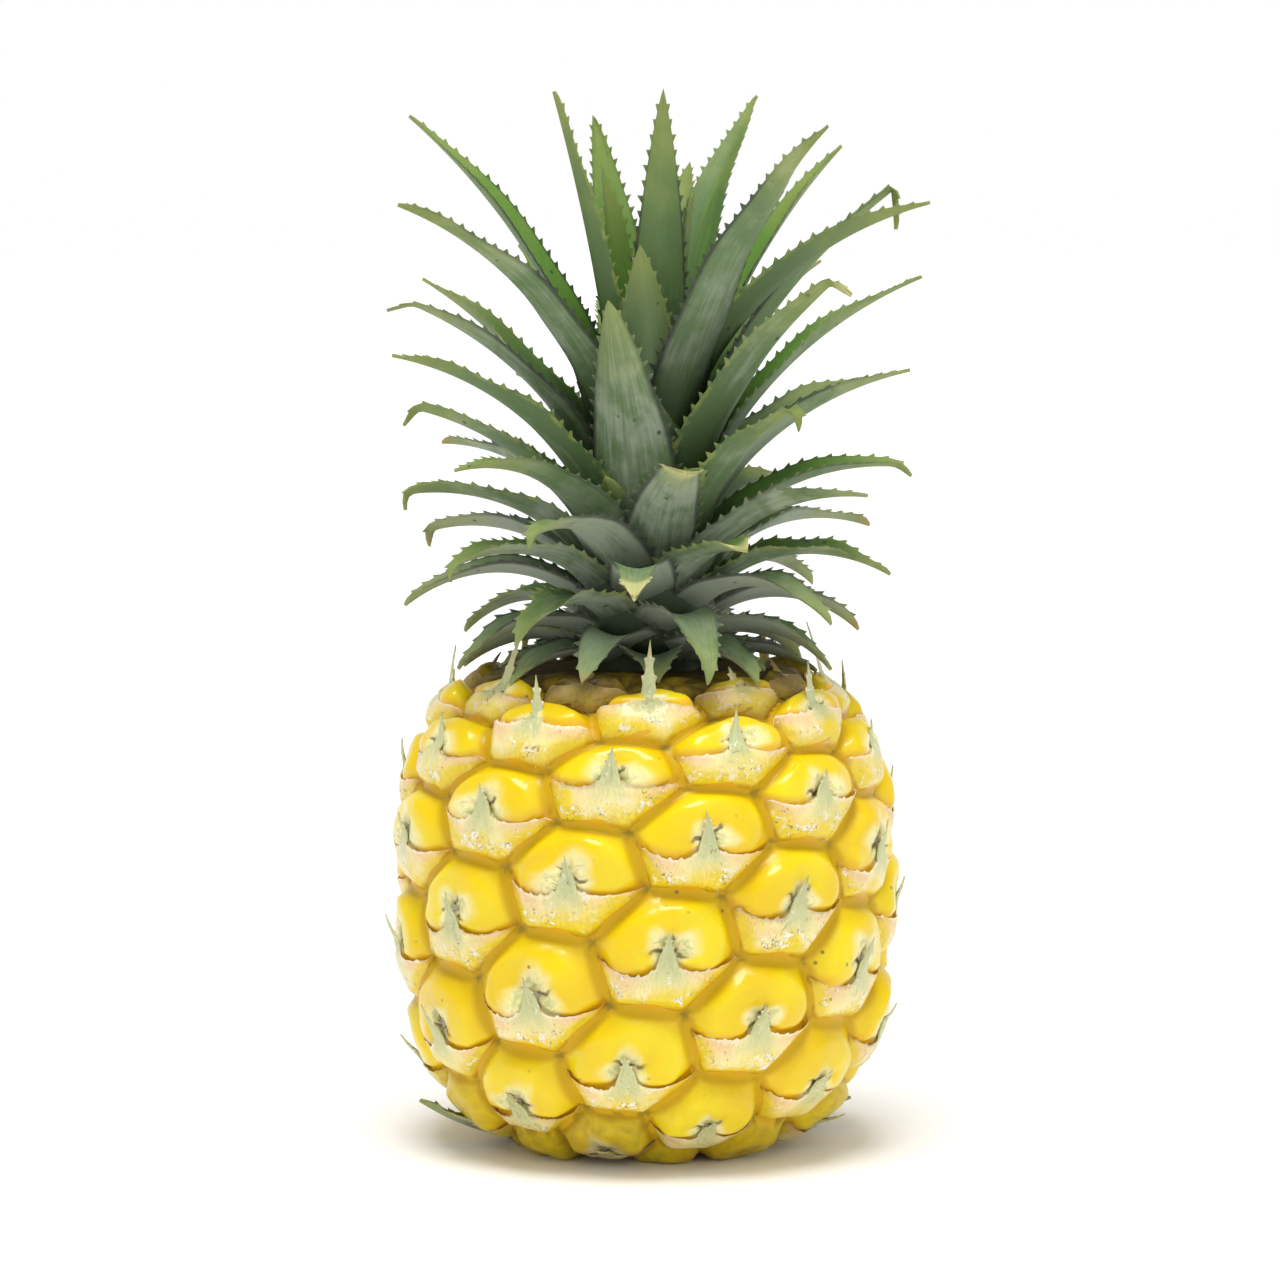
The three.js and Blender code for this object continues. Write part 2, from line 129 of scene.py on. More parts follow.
class Bench:
    """Edit-mode help: what an operator acts on is picked here by its place."""

    @staticmethod
    def clear() -> None:
        """Leaves nothing selected."""
        bpy.ops.object.select_all(action="DESELECT")

    @staticmethod
    @contextmanager
    def editing(piece: bpy.types.Object) -> Iterator[None]:
        """Opens a piece in edit mode with nothing selected.

        Args:
            piece: The piece to open.
        """
        Bench.clear()
        piece.select_set(True)
        bpy.context.view_layer.objects.active = piece
        bpy.ops.object.mode_set(mode="EDIT")
        bpy.ops.mesh.select_all(action="DESELECT")
        yield
        bpy.ops.object.mode_set(mode="OBJECT")

    @staticmethod
    def pick(mode: str, wanted: Callable[[Any], bool]) -> None:
        """Selects, in the open piece, the parts that pass a test.

        Args:
            mode: VERT, EDGE or FACE.
            wanted: The test on a bmesh vertex, edge or face.
        """
        bpy.ops.mesh.select_mode(type=mode)
        bpy.ops.mesh.select_all(action="DESELECT")
        mesh = bpy.context.edit_object.data
        shape = bmesh.from_edit_mesh(mesh)
        parts = {"VERT": shape.verts, "EDGE": shape.edges, "FACE": shape.faces}[mode]
        for part in [part for part in parts if wanted(part)]:
            part.select_set(True)
        shape.select_flush_mode()
        bmesh.update_edit_mesh(mesh)

    @staticmethod
    def extrude(offset: Sequence[float]) -> None:
        """Extrudes what is selected and moves it by an offset."""
        bpy.ops.mesh.extrude_region_move(TRANSFORM_OT_translate={"value": tuple(offset)})

    @staticmethod
    def pull_to_tips(wanted: Callable[[Any], bool], offset: Sequence[float]) -> None:
        """Pulls each face that passes a test out to a sharp tip.

        Args:
            wanted: The test on a bmesh face.
            offset: Where its tip lies from the face.
        """
        Bench.pick("FACE", wanted)
        bpy.ops.mesh.extrude_faces_move(TRANSFORM_OT_shrink_fatten={"value": 0.0})
        bpy.ops.transform.translate(value=tuple(offset))
        bpy.ops.mesh.merge(type="COLLAPSE")

    @staticmethod
    def face_outward() -> None:
        """Turns every face of the open piece outward."""
        bpy.ops.mesh.select_all(action="SELECT")
        bpy.ops.mesh.normals_make_consistent(inside=False)


def points_of(piece: bpy.types.Object) -> np.ndarray:
    """The vertices of a piece, one row each."""
    flat = np.empty(len(piece.data.vertices) * 3, dtype=np.float32)
    piece.data.vertices.foreach_get("co", flat)
    return flat.reshape(-1, 3).astype(float)


def set_points(mesh: bpy.types.Mesh, points: np.ndarray) -> None:
    """Moves a mesh's vertices to new places, in millimetres."""
    mesh.vertices.foreach_set("co", (points * MM).astype(np.float32).ravel())
    mesh.update()


def paint(mesh: bpy.types.Mesh, name: str, rows: np.ndarray) -> None:
    """Stores three numbers for each vertex, for the materials to read."""
    attribute = mesh.attributes.get(name) or mesh.attributes.new(name, "FLOAT_VECTOR", "POINT")
    attribute.data.foreach_set("vector", rows.astype(np.float32).ravel())


def linked(name: str, data: Any) -> bpy.types.Object:
    """A new object in the scene."""
    thing = bpy.data.objects.new(name, data)
    bpy.context.scene.collection.objects.link(thing)
    return thing


def laid_copy(
    master: bpy.types.Object, name: str, points: np.ndarray, **masks: np.ndarray
) -> bpy.types.Object:
    """Copies a master, with a mesh of its own, and lays the copy in place.

    Args:
        master: The modelled piece.
        name: The copy's name.
        points: Where its vertices go, in millimetres.
        masks: Rows of three numbers for the materials to read, by name.

    Returns:
        The copy.
    """
    piece = linked(name, master.data.copy())
    set_points(piece.data, points)
    for mask, rows in masks.items():
        paint(piece.data, mask, rows)
    return piece


def joined(pieces: Sequence[bpy.types.Object], name: str) -> bpy.types.Object:
    """Joins copies, which are used up, into one piece.

    Args:
        pieces: The copies.
        name: The joined piece's name.

    Returns:
        The joined piece.
    """
    Bench.clear()
    for piece in pieces:
        piece.select_set(True)
    bpy.context.view_layer.objects.active = pieces[0]
    bpy.ops.object.join()
    whole = bpy.context.view_layer.objects.active
    whole.name = name
    whole.data.name = name
    return whole


def number_by_place(piece: bpy.types.Object) -> None:
    """Numbers a master's parts by their place, because merging leaves them in any order.

    Args:
        piece: The master.
    """

    def rank(place: Sequence[float]) -> float:
        """A number that grows with z, then y, then x, in steps of a thousandth."""
        x, y, z = (round(1000 * part + OFF_STEP) for part in place)
        return x + 1e5 * y + 1e10 * z

    shape = bmesh.new()
    shape.from_mesh(piece.data)
    shape.verts.sort(key=lambda vertex: rank(vertex.co))
    shape.edges.sort(key=lambda edge: rank((edge.verts[0].co + edge.verts[1].co) / 2))
    shape.faces.sort(key=lambda face: rank(face.calc_center_median()))
    shape.to_mesh(piece.data)
    shape.free()


def discard(piece: bpy.types.Object) -> None:
    """Removes a master once its copies are made."""
    bpy.data.objects.remove(piece)


def settle(
    piece: bpy.types.Object, sharp: float, finish: "Finish", slot: Slot, *nodes: str
) -> None:
    """Shades a finished piece and gives it its material and its place in the model.

    Args:
        piece: The finished piece.
        sharp: The angle between two faces, in degrees, from which their edge stays sharp.
        finish: What it is dressed in.
        slot: The record's slot for its finish. It is not used.
        nodes: The solids that it stands for.
    """
    Bench.clear()
    piece.select_set(True)
    bpy.context.view_layer.objects.active = piece
    bpy.ops.object.shade_smooth_by_angle(angle=math.radians(sharp))
    piece.data.materials.clear()
    piece.data.materials.append(finish.material())
    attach(piece, "root")
    if nodes:
        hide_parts(*nodes)
    triangles = sum(len(face.vertices) - 2 for face in piece.data.polygons)
    LOG.info("%s: %d triangles", piece.name, triangles)


# Shader maths.


class Value:
    """A number at a shader socket. Python sums on it add Math nodes."""

    def __init__(self, graph: "Graph", socket: bpy.types.NodeSocket) -> None:
        """Wraps an output socket of a graph."""
        self.graph = graph
        self.socket = socket

    def _math(self, operation: str, *inputs: "Value | float") -> "Value":
        """Adds a Math node.

        Args:
            operation: The node's operation.
            inputs: Its inputs in order.

        Returns:
            The node's result.
        """
        values = dict(enumerate(inputs))
        return self.graph.node("ShaderNodeMath", {"operation": operation}, values)

    def __add__(self, other: "Value | float") -> "Value":
        """Self plus other."""
        return self._math("ADD", self, other)

    def __sub__(self, other: "Value | float") -> "Value":
        """Self minus other."""
        return self._math("SUBTRACT", self, other)

    def __rsub__(self, other: "Value | float") -> "Value":
        """Other minus self."""
        return self._math("SUBTRACT", other, self)

    def __mul__(self, other: "Value | float") -> "Value":
        """Self times other."""
        return self._math("MULTIPLY", self, other)

    __radd__ = __add__
    __rmul__ = __mul__

    def __abs__(self) -> "Value":
        """Self without its sign."""
        return self._math("ABSOLUTE", self)

    def eased(self, low: float, high: float) -> "Value":
        """Eases from 0 at low to 1 at high, either of which may be the larger.

        Args:
            low: Where the result is 0.
            high: Where it is 1.

        Returns:
            The eased number.
        """
        settings = {"interpolation_type": "SMOOTHSTEP"}
        start, end = (low, high) if low < high else (high, low)
        sockets = {"Value": self, "From Min": start, "From Max": end}
        rising = self.graph.node("ShaderNodeMapRange", settings, sockets)
        return rising if low < high else 1 - rising


class Graph:
    """A material's nodes, with its main shader at the end."""

    def __init__(self, name: str, **constants: float) -> None:
        """Starts a material.

        Args:
            name: The material's name.
            constants: Sockets of the main shader that stay the same all over, with _ for a space.
        """
        self.made = bpy.data.materials.new(name)
        self.made.use_nodes = True
        self.tree = self.made.node_tree
        self.shader = self.tree.nodes["Principled BSDF"]
        for socket, value in constants.items():
            self.shader.inputs[socket.replace("_", " ")].default_value = value

    def _feed(self, socket: bpy.types.NodeSocket, value: Any) -> None:
        """Links a value to a socket, or sets it there.

        Args:
            socket: The input.
            value: What it takes.
        """
        if isinstance(value, Value):
            self.tree.links.new(value.socket, socket)
        elif socket.type == "RGBA" and len(value) == 3:
            socket.default_value = (*value, 1.0)
        else:
            socket.default_value = value

    def node(
        self,
        kind: str,
        settings: dict[str, Any],
        sockets: dict[str | int, Any],
        output: str | int = 0,
    ) -> Value:
        """Adds a node.

        Args:
            kind: The node's type.
            settings: Its own settings, which are set first.
            sockets: Values or links for its inputs.
            output: Which output to hand back.

        Returns:
            That output.
        """
        made = self.tree.nodes.new(kind)
        for setting, value in settings.items():
            setattr(made, setting, value)
        for socket, value in sockets.items():
            self._feed(made.inputs[socket], value)
        return Value(self, made.outputs[output])

    def attribute(self, name: str) -> tuple[Value, Value, Value]:
        """The three numbers that paint stored under a name.

        Args:
            name: The masks' name.

        Returns:
            The three numbers.
        """
        stored = self.node("ShaderNodeAttribute", {"attribute_name": name}, {}, "Vector")
        split = self.tree.nodes.new("ShaderNodeSeparateXYZ")
        self.tree.links.new(stored.socket, split.inputs[0])
        return tuple(Value(self, socket) for socket in split.outputs)

    def place(self, scale: Colour = (1.0, 1.0, 1.0)) -> Value:
        """Object coordinates, stretched along each axis by a scale."""
        coordinates = self.node("ShaderNodeTexCoord", {}, {}, "Object")
        return self.node("ShaderNodeMapping", {}, {"Vector": coordinates, "Scale": scale})

    def vector(self, x: Any, y: Any, z: Any) -> Value:
        """A vector from three numbers."""
        return self.node("ShaderNodeCombineXYZ", {}, {"X": x, "Y": y, "Z": z})

    def noise(self, where: Value, scale: float, detail: float = 3.0, distortion: float = 0.0) -> Value:
        """Soft noise from 0 to 1, with scale waves to a unit."""
        sockets = {"Vector": where, "Scale": scale, "Detail": detail, "Distortion": distortion}
        return self.node("ShaderNodeTexNoise", {}, sockets)

    def spots(self, where: Value, scale: float) -> Value:
        """The distance to the nearest of scattered points, about scale of them to a unit."""
        return self.node("ShaderNodeTexVoronoi", {}, {"Vector": where, "Scale": scale})

    def blend(self, low: Any, high: Any, share: Any) -> Value:
        """A colour between two, by a share from 0 to 1.

        Args:
            low: The colour at 0.
            high: The colour at 1.
            share: The share.

        Returns:
            The colour between them.
        """
        settings = {"data_type": "RGBA", "clamp_factor": True}
        made = self.node("ShaderNodeMix", settings, {"Factor": share}, 2).socket.node
        self._feed(made.inputs[6], low)
        self._feed(made.inputs[7], high)
        return Value(self, made.outputs[2])

    def coated(self, colour: Any, *coats: tuple[Any, Any]) -> Value:
        """Lays coats over a colour.

        Args:
            colour: What lies under them.
            coats: The colour of each and its share, from the lowest up.

        Returns:
            The colour that shows.
        """
        for coat, share in coats:
            colour = self.blend(colour, coat, share)
        return colour

    def bumped(self, height: Value, distance: float, strength: float) -> Value:
        """A normal raised by a height.

        Args:
            height: The relief, from 0 to 1.
            distance: How far 1 stands out, in metres.
            strength: How much of it shows.

        Returns:
            The normal.
        """
        sockets = {"Height": height, "Distance": distance, "Strength": strength}
        return self.node("ShaderNodeBump", {}, sockets)

    def finish(self, **inputs: Any) -> bpy.types.Material:
        """Feeds the main shader, with _ for a space, and hands back the material."""
        for socket, value in inputs.items():
            self._feed(self.shader.inputs[socket.replace("_", " ")], value)
        return self.made


class Finish:
    """What a piece is dressed in. Each finish makes its material once."""

    _made: dict[type, bpy.types.Material] = {}

    def material(self) -> bpy.types.Material:
        """The finish's material."""
        if type(self) not in self._made:
            self._made[type(self)] = self.build()
        return self._made[type(self)]

    def build(self) -> bpy.types.Material:
        """Makes the material."""
        raise NotImplementedError


@dataclass(frozen=True)
class RindFinish(Finish):
    """The glossy golden rind: amber in the grooves, partly painted shade, creamy and scarred at each
    eye's middle, with painted shade in the groove corners, the creases and under the crown.
    """

    gold: Colour = (0.80, 0.555, 0.0)
    lemon: Colour = (0.84, 0.66, 0.003)
    # Amber for the grooves: partly the rind's own colour, partly painted shade in the recesses.
    amber_and_groove_shade: Colour = (0.60, 0.37, 0.0)
    # Dark olive for the groove corners: painted shade.
    olive_and_corner_shade: Colour = (0.20, 0.14, 0.010)
    # Orange for the crease where the dome tucks behind the bract: painted shade.
    painted_crease_shade: Colour = (0.74, 0.36, 0.01)
    cream: Colour = (0.88, 0.80, 0.42)
    green: Colour = (0.52, 0.54, 0.22)
    scar: Colour = (0.14, 0.08, 0.035)
    # Painted shade colour for the eyes under the crown; near the base it also stands for dirt.
    shade: Colour = (0.085, 0.052, 0.008)

    def build(self) -> bpy.types.Material:
        """Makes the material from the eye masks: groove, star and crease, and x, y and the corner.

        Returns:
            The material.
        """
        graph = Graph(
            "ripe_rind",
            Subsurface_Weight=0.15,
            Subsurface_Scale=0.004,
            Coat_Roughness=0.10,
            Specular_IOR_Level=0.22,
        )
        graph.shader.inputs["Subsurface Radius"].default_value = (1.0, 0.55, 0.05)
        groove, star, crease = graph.attribute("tone")
        across, up, corner = graph.attribute("place")
        own, cracked, painted_shade = graph.attribute("tint")
        where = graph.place()
        slow = graph.noise(where, 70.0, 2.0)
        fine = graph.noise(where, 900.0, 4.0)
        patchy = graph.noise(where, 260.0, 5.0, 1.2)
        # Painted shade: the groove's corners go dark olive, in patches.
        pit = groove.eased(0.80, 1.0) * corner.eased(0.70, 1.0) * patchy.eased(0.35, 0.6)
        creamy = star + (patchy - 0.5) * 0.6 * star.eased(0.0, 0.4)
        eye_place = graph.vector(across * 2.2, up * 2.2, own * 9.0)
        streaks = graph.noise(eye_place, 2.6, 4.0, 1.2)
        tinged = creamy.eased(0.35, 0.9) * streaks.eased(0.47, 0.62)
        crack = (1 - abs(streaks - 0.5).eased(0.003, 0.012)) * creamy.eased(0.5, 1.0) * 0.4
        crack = crack + (cracked + (fine - 0.5) * 0.6).eased(0.45, 0.9)
        dots = graph.spots(where, 330.0).eased(0.17, 0.08) * graph.noise(where, 110.0).eased(0.56, 0.66)
        colour = graph.coated(
            self.gold,
            (self.lemon, slow.eased(0.35, 0.7) + own * 0.3 - 0.15),
            # Amber in the grooves: partly the rind's own colour, partly painted shade where the grooves
            # sink.
            (self.amber_and_groove_shade, groove.eased(0.0, 0.8)),
            (self.olive_and_corner_shade, pit * 0.8),
            # Painted shade in the crease under each dome's lower edge.
            (self.painted_crease_shade, crease * 0.75),
            (self.cream, creamy.eased(0.08, 0.72) * 0.92),
            (self.green, tinged * 0.9),
            (self.scar, crack * star.eased(0.02, 0.3) * 0.75),
            (self.scar, dots * 0.75),
            # Painted shade: darkens the eyes under the crown, and near the base it is partly dirt and
            # partly painted shade.
            (self.shade, (painted_shade + (patchy - 0.5) * 0.8) * painted_shade.eased(0.0, 0.6) * 0.9),
        )
        rough = 0.27 + star * 0.25 + groove * 0.2 + fine * 0.08 + painted_shade * 0.4
        relief = fine * 0.25 + patchy * star * 0.9 + slow * 0.3 - crack * star * 0.6
        return graph.finish(
            Base_Color=colour,
            Roughness=rough,
            Coat_Weight=0.46 - star * 0.2 - groove * 0.4 - painted_shade * 0.4,
            Normal=graph.bumped(relief, 0.0004, 0.6),
        )


@dataclass(frozen=True)
class BractFinish(Finish):
    """The papery bract: golden at its foot, creamy pink above, grey-green along its point, with painted
    shade in the groove and under the crown, and painted glints among its white scurf.
    """

    # Amber for the bract's foot and sides: partly its own colour, partly painted shade in the groove.
    amber_and_groove_shade: Colour = (0.60, 0.36, 0.0)
    gold: Colour = (0.84, 0.62, 0.006)
    cream: Colour = (0.91, 0.78, 0.33)
    pink: Colour = (0.88, 0.56, 0.29)
    green: Colour = (0.50, 0.54, 0.27)
    # Painted shade colour for the bracts under the crown; near the base it also stands for dirt.
    painted_shade: Colour = (0.24, 0.15, 0.02)
    tan: Colour = (0.52, 0.42, 0.22)
    freckle: Colour = (0.22, 0.15, 0.09)
    # White for scurf on the bracts, also used as painted glints.
    scurf_and_glint: Colour = (0.92, 0.87, 0.76)
    straw: Colour = (0.92, 0.80, 0.56)

    def build(self) -> bpy.types.Material:
        """Makes the material from u across, v up and the point's own share.

        Returns:
            The material.
        """
        graph = Graph("papery_bract", Subsurface_Weight=0.08, Subsurface_Scale=0.002)
        graph.shader.inputs["Subsurface Radius"].default_value = (1.0, 0.7, 0.3)
        across, up, point = graph.attribute("place")
        own, second, painted_shade = graph.attribute("tint")
        where = graph.place()
        cloud = graph.noise(where, 210.0, 4.0, 0.8)
        grain = graph.noise(where, 1500.0, 3.0)
        patch = graph.noise(where, 95.0, 3.0, 0.6)
        side = abs(across)
        pale = up - side.eased(0.35, 0.95) * 0.6 + (patch - 0.5) * 2.0
        flank = side.eased(0.10, 0.6) * (patch + cloud * 0.6).eased(0.62, 0.88)
        middle = side.eased(0.42, 0.05) * up.eased(0.30, 0.95)
        greenish = (middle + (cloud - 0.5) * 0.7) * middle.eased(0.0, 0.3) * 0.8
        rim = up.eased(0.16, 0.02) + side.eased(0.80, 0.97)
        band = up.eased(0.12, 0.30) * up.eased(0.72, 0.42) * side.eased(0.85, 0.4)
        # White flakes: partly real scurf, partly painted glints.
        flakes_and_glints = (graph.noise(where, 680.0, 4.0, 1.0) + band * 0.13).eased(0.62, 0.70)
        freckles = (graph.noise(where, 1000.0, 3.0, 1.5) + band * 0.07).eased(0.64, 0.69)
        strand = graph.noise(graph.vector(across * 9.0, up * 1.2, own * 7.0), 2.2, 3.0)
        split = 1 - abs(strand - 0.5).eased(0.006, 0.03)
        torn = split * second.eased(0.5, 0.9) * cloud.eased(0.5, 0.65)
        edge = up.eased(0.88, 0.985) * side.eased(0.17, 0.22)
        papery = graph.blend(self.straw, self.tan, second.eased(0.55, 0.75))
        colour = graph.coated(
            self.gold,
            (self.cream, pale.eased(0.10, 0.85)),
            (self.pink, flank * up.eased(0.35, 0.85) * 0.8),
            (self.green, greenish),
            # Amber at the foot and sides, down in the groove: partly its own colour, partly painted
            # shade.
            (self.amber_and_groove_shade, rim + (cloud - 0.5) * 0.5 * rim),
            (self.scurf_and_glint, flakes_and_glints * cloud.eased(0.42, 0.6) * 0.9),
            (self.freckle, freckles * cloud.eased(0.45, 0.6) * 0.8),
            (self.freckle, torn * 0.6),
            (self.green, point.eased(0.0, 0.15) * (1.2 - cloud) * 0.8),
            (self.scurf_and_glint, point.eased(0.0, 0.3) * flakes_and_glints * 0.8),
            (self.tan, (point + (cloud - 0.5)).eased(0.65, 1.1) * 0.75),
            (papery, edge * (cloud + grain).eased(0.75, 1.05) * 0.9),
            # Painted shade under the crown; near the base partly dirt and partly painted shade.
            (self.painted_shade, painted_shade * (0.6 + cloud * 0.5)),
        )
        relief = strand * 0.12 + grain * 0.12 + cloud * 1.4 - split * 0.1
        return graph.finish(
            Base_Color=colour,
            Roughness=0.30 + grain * 0.2 + flakes_and_glints * 0.2 + painted_shade * 0.3,
            Coat_Weight=0.3 - painted_shade * 0.3,
            Normal=graph.bumped(relief, 0.0006, 0.8),
        )


@dataclass(frozen=True)
class LeafFinish(Finish):
    """Stiff leaves: green on top, grey with bloom below, yellower towards their tips, with painted shade
    towards their roots and along some margins.
    """

    # Dark green for painted shade towards the leaf roots, and for real pocks.
    shade_and_pock_green: Colour = (0.018, 0.042, 0.009)
    green: Colour = (0.085, 0.170, 0.035)
    bright: Colour = (0.130, 0.290, 0.030)
    sage: Colour = (0.125, 0.190, 0.080)
    white: Colour = (0.370, 0.415, 0.325)
    ripe: Colour = (0.300, 0.350, 0.085)
    spine: Colour = (0.30, 0.31, 0.11)
    dry: Colour = (0.36, 0.27, 0.08)
    frayed: Colour = (0.62, 0.60, 0.26)
    # Painted shade colour for the dark margins of some leaves.
    painted_shade: Colour = (0.030, 0.034, 0.026)

    def build(self) -> bpy.types.Material:
        """Makes the material from s across, t along and the side, and each leaf's own tints.

        Returns:
            The material.
        """
        graph = Graph("spiny_leaf", Specular_IOR_Level=0.4)
        across, along, under = graph.attribute("place")
        own, height, second = graph.attribute("tint")
        dryness, torn, _ = graph.attribute("wear")
        where = graph.place()
        fibres = graph.noise(graph.vector(across * 3.0, along * 2.0, own * 11.0), 3.0, 4.0, 0.5)
        veins = graph.noise(graph.vector(across * 22.0, along * 0.8, own * 5.0), 2.0, 2.0)
        cloud = graph.noise(where, 75.0, 3.0, 0.8)
        fine = graph.noise(where, 420.0, 3.0)
        bloomy = fibres * 0.5 + cloud * 0.7 + (fine - 0.5) * 0.25 + second * 0.22 - height * 0.56 + 0.16
        lively = (height + (own - 0.5) * 0.7 + (fibres - 0.5) * 0.8).eased(0.62, 0.95)
        lively = lively * along.eased(0.15, 0.5)
        # The upper face starts from painted shade at its root and turns green further out.
        upper = graph.coated(
            self.shade_and_pock_green,
            (self.green, (fibres * 0.5 + along * 0.9).eased(0.25, 0.8)),
            (self.bright, lively * 0.8),
            (self.white, bloomy.eased(0.55, 0.95) * 0.5),
        )
        lower = graph.coated(
            self.sage, (self.white, bloomy.eased(0.40, 0.78)), (self.green, lively * 0.45)
        )
        side = abs(across)
        tipward = (along + (cloud - 0.5) * 0.5).eased(0.62, 1.0)
        margin = side.eased(0.86, 0.98) * (1 - tipward)
        speckled = margin * second.eased(0.4, 0.2) * fine.eased(0.4, 0.6)
        spines = side.eased(1.2, 1.8) * second.eased(0.8, 0.4)
        dried = (along + (fibres - 0.5) * 0.05 + dryness * 0.07).eased(0.985, 1.04)
        pocks = graph.spots(where, 260.0).eased(0.16, 0.07) * graph.noise(where, 75.0).eased(0.52, 0.60)
        colour = graph.coated(
            upper,
            (lower, under * 0.9),
            # Painted shade: dark towards each leaf's root, less so on the upper leaves.
            (self.shade_and_pock_green, (along - height * 0.25).eased(0.36, 0.0) * 0.92),
            (self.ripe, tipward * 0.65),
            # Painted shade along the margins of some leaves.
            (self.painted_shade, margin * second.eased(0.4, 0.6) * 0.8),
            (self.ripe, speckled * 0.8),
            (self.spine, spines * 0.8),
            (self.dry, dried * 0.85),
            (self.frayed, torn * (0.4 + fibres)),
            (self.shade_and_pock_green, pocks * 0.8),
        )
        relief = veins * 0.35 + fibres * 0.5 + fine * 0.3
        return graph.finish(
            Base_Color=colour,
            Roughness=0.42 + bloomy * 0.15 + under * 0.08,
            Normal=graph.bumped(relief, 0.00035, 0.55),
        )


@dataclass(frozen=True)
class FlowerFinish(Finish):
    """The withered flower in each eye: grey felt, browner at the tips."""

    felt: Colour = (0.62, 0.58, 0.45)
    brown: Colour = (0.26, 0.18, 0.10)

    def build(self) -> bpy.types.Material:
        """Makes the material from the share along each filament.

        Returns:
            The material.
        """
        graph = Graph("withered_flower", Roughness=0.85, Sheen_Weight=0.3)
        _, along, _ = graph.attribute("place")
        mottle = graph.noise(graph.place(), 1400.0, 2.0)
        colour = graph.blend(self.felt, self.brown, (along * 0.6 + mottle * 0.8).eased(0.45, 1.0))
        return graph.finish(Base_Color=colour, Normal=graph.bumped(mottle, 0.0002, 0.5))


@dataclass(frozen=True)
class StalkFinish(Finish):
    """The dry cut of the stalk: pale pith with darker strands, and a brown rim."""

    pith: Colour = (0.66, 0.53, 0.31)
    strand: Colour = (0.36, 0.24, 0.11)
    bark: Colour = (0.20, 0.13, 0.06)
    radius: float = 0.009

    def build(self) -> bpy.types.Material:
        """Makes the material, ringed about the stalk's own middle.

        Returns:
            The material.
        """
        graph = Graph("cut_stalk", Roughness=0.8)
        where = graph.place()
        flat = graph.place((1.0 / self.radius, 1.0 / self.radius, 0.0))
        out = graph.node("ShaderNodeVectorMath", {"operation": "LENGTH"}, {0: flat}, "Value")
        cells = graph.spots(where, 900.0)
        rough = graph.noise(where, 500.0, 4.0)
        colour = graph.coated(
            self.pith,
            (self.strand, cells.eased(0.35, 0.15) * 0.7),
            (self.strand, rough.eased(0.55, 0.75) * 0.5),
            (self.bark, (out + (rough - 0.5) * 0.2).eased(0.82, 0.97)),
        )
        return graph.finish(Base_Color=colour, Normal=graph.bumped(cells + rough, 0.0006, 0.7))


@dataclass(frozen=True)
class FloorFinish(Finish):
    """A plain, pale studio floor."""

    pale: Colour = (0.95, 0.95, 0.96)

    def build(self) -> bpy.types.Material:
        """Makes the material."""
        graph = Graph("pale_floor", Roughness=0.7)
        faint = graph.noise(graph.place(), 3.0).eased(0.0, 1.0)
        return graph.finish(Base_Color=graph.blend(self.pale, (0.97, 0.97, 0.97), faint))


# The fruit.


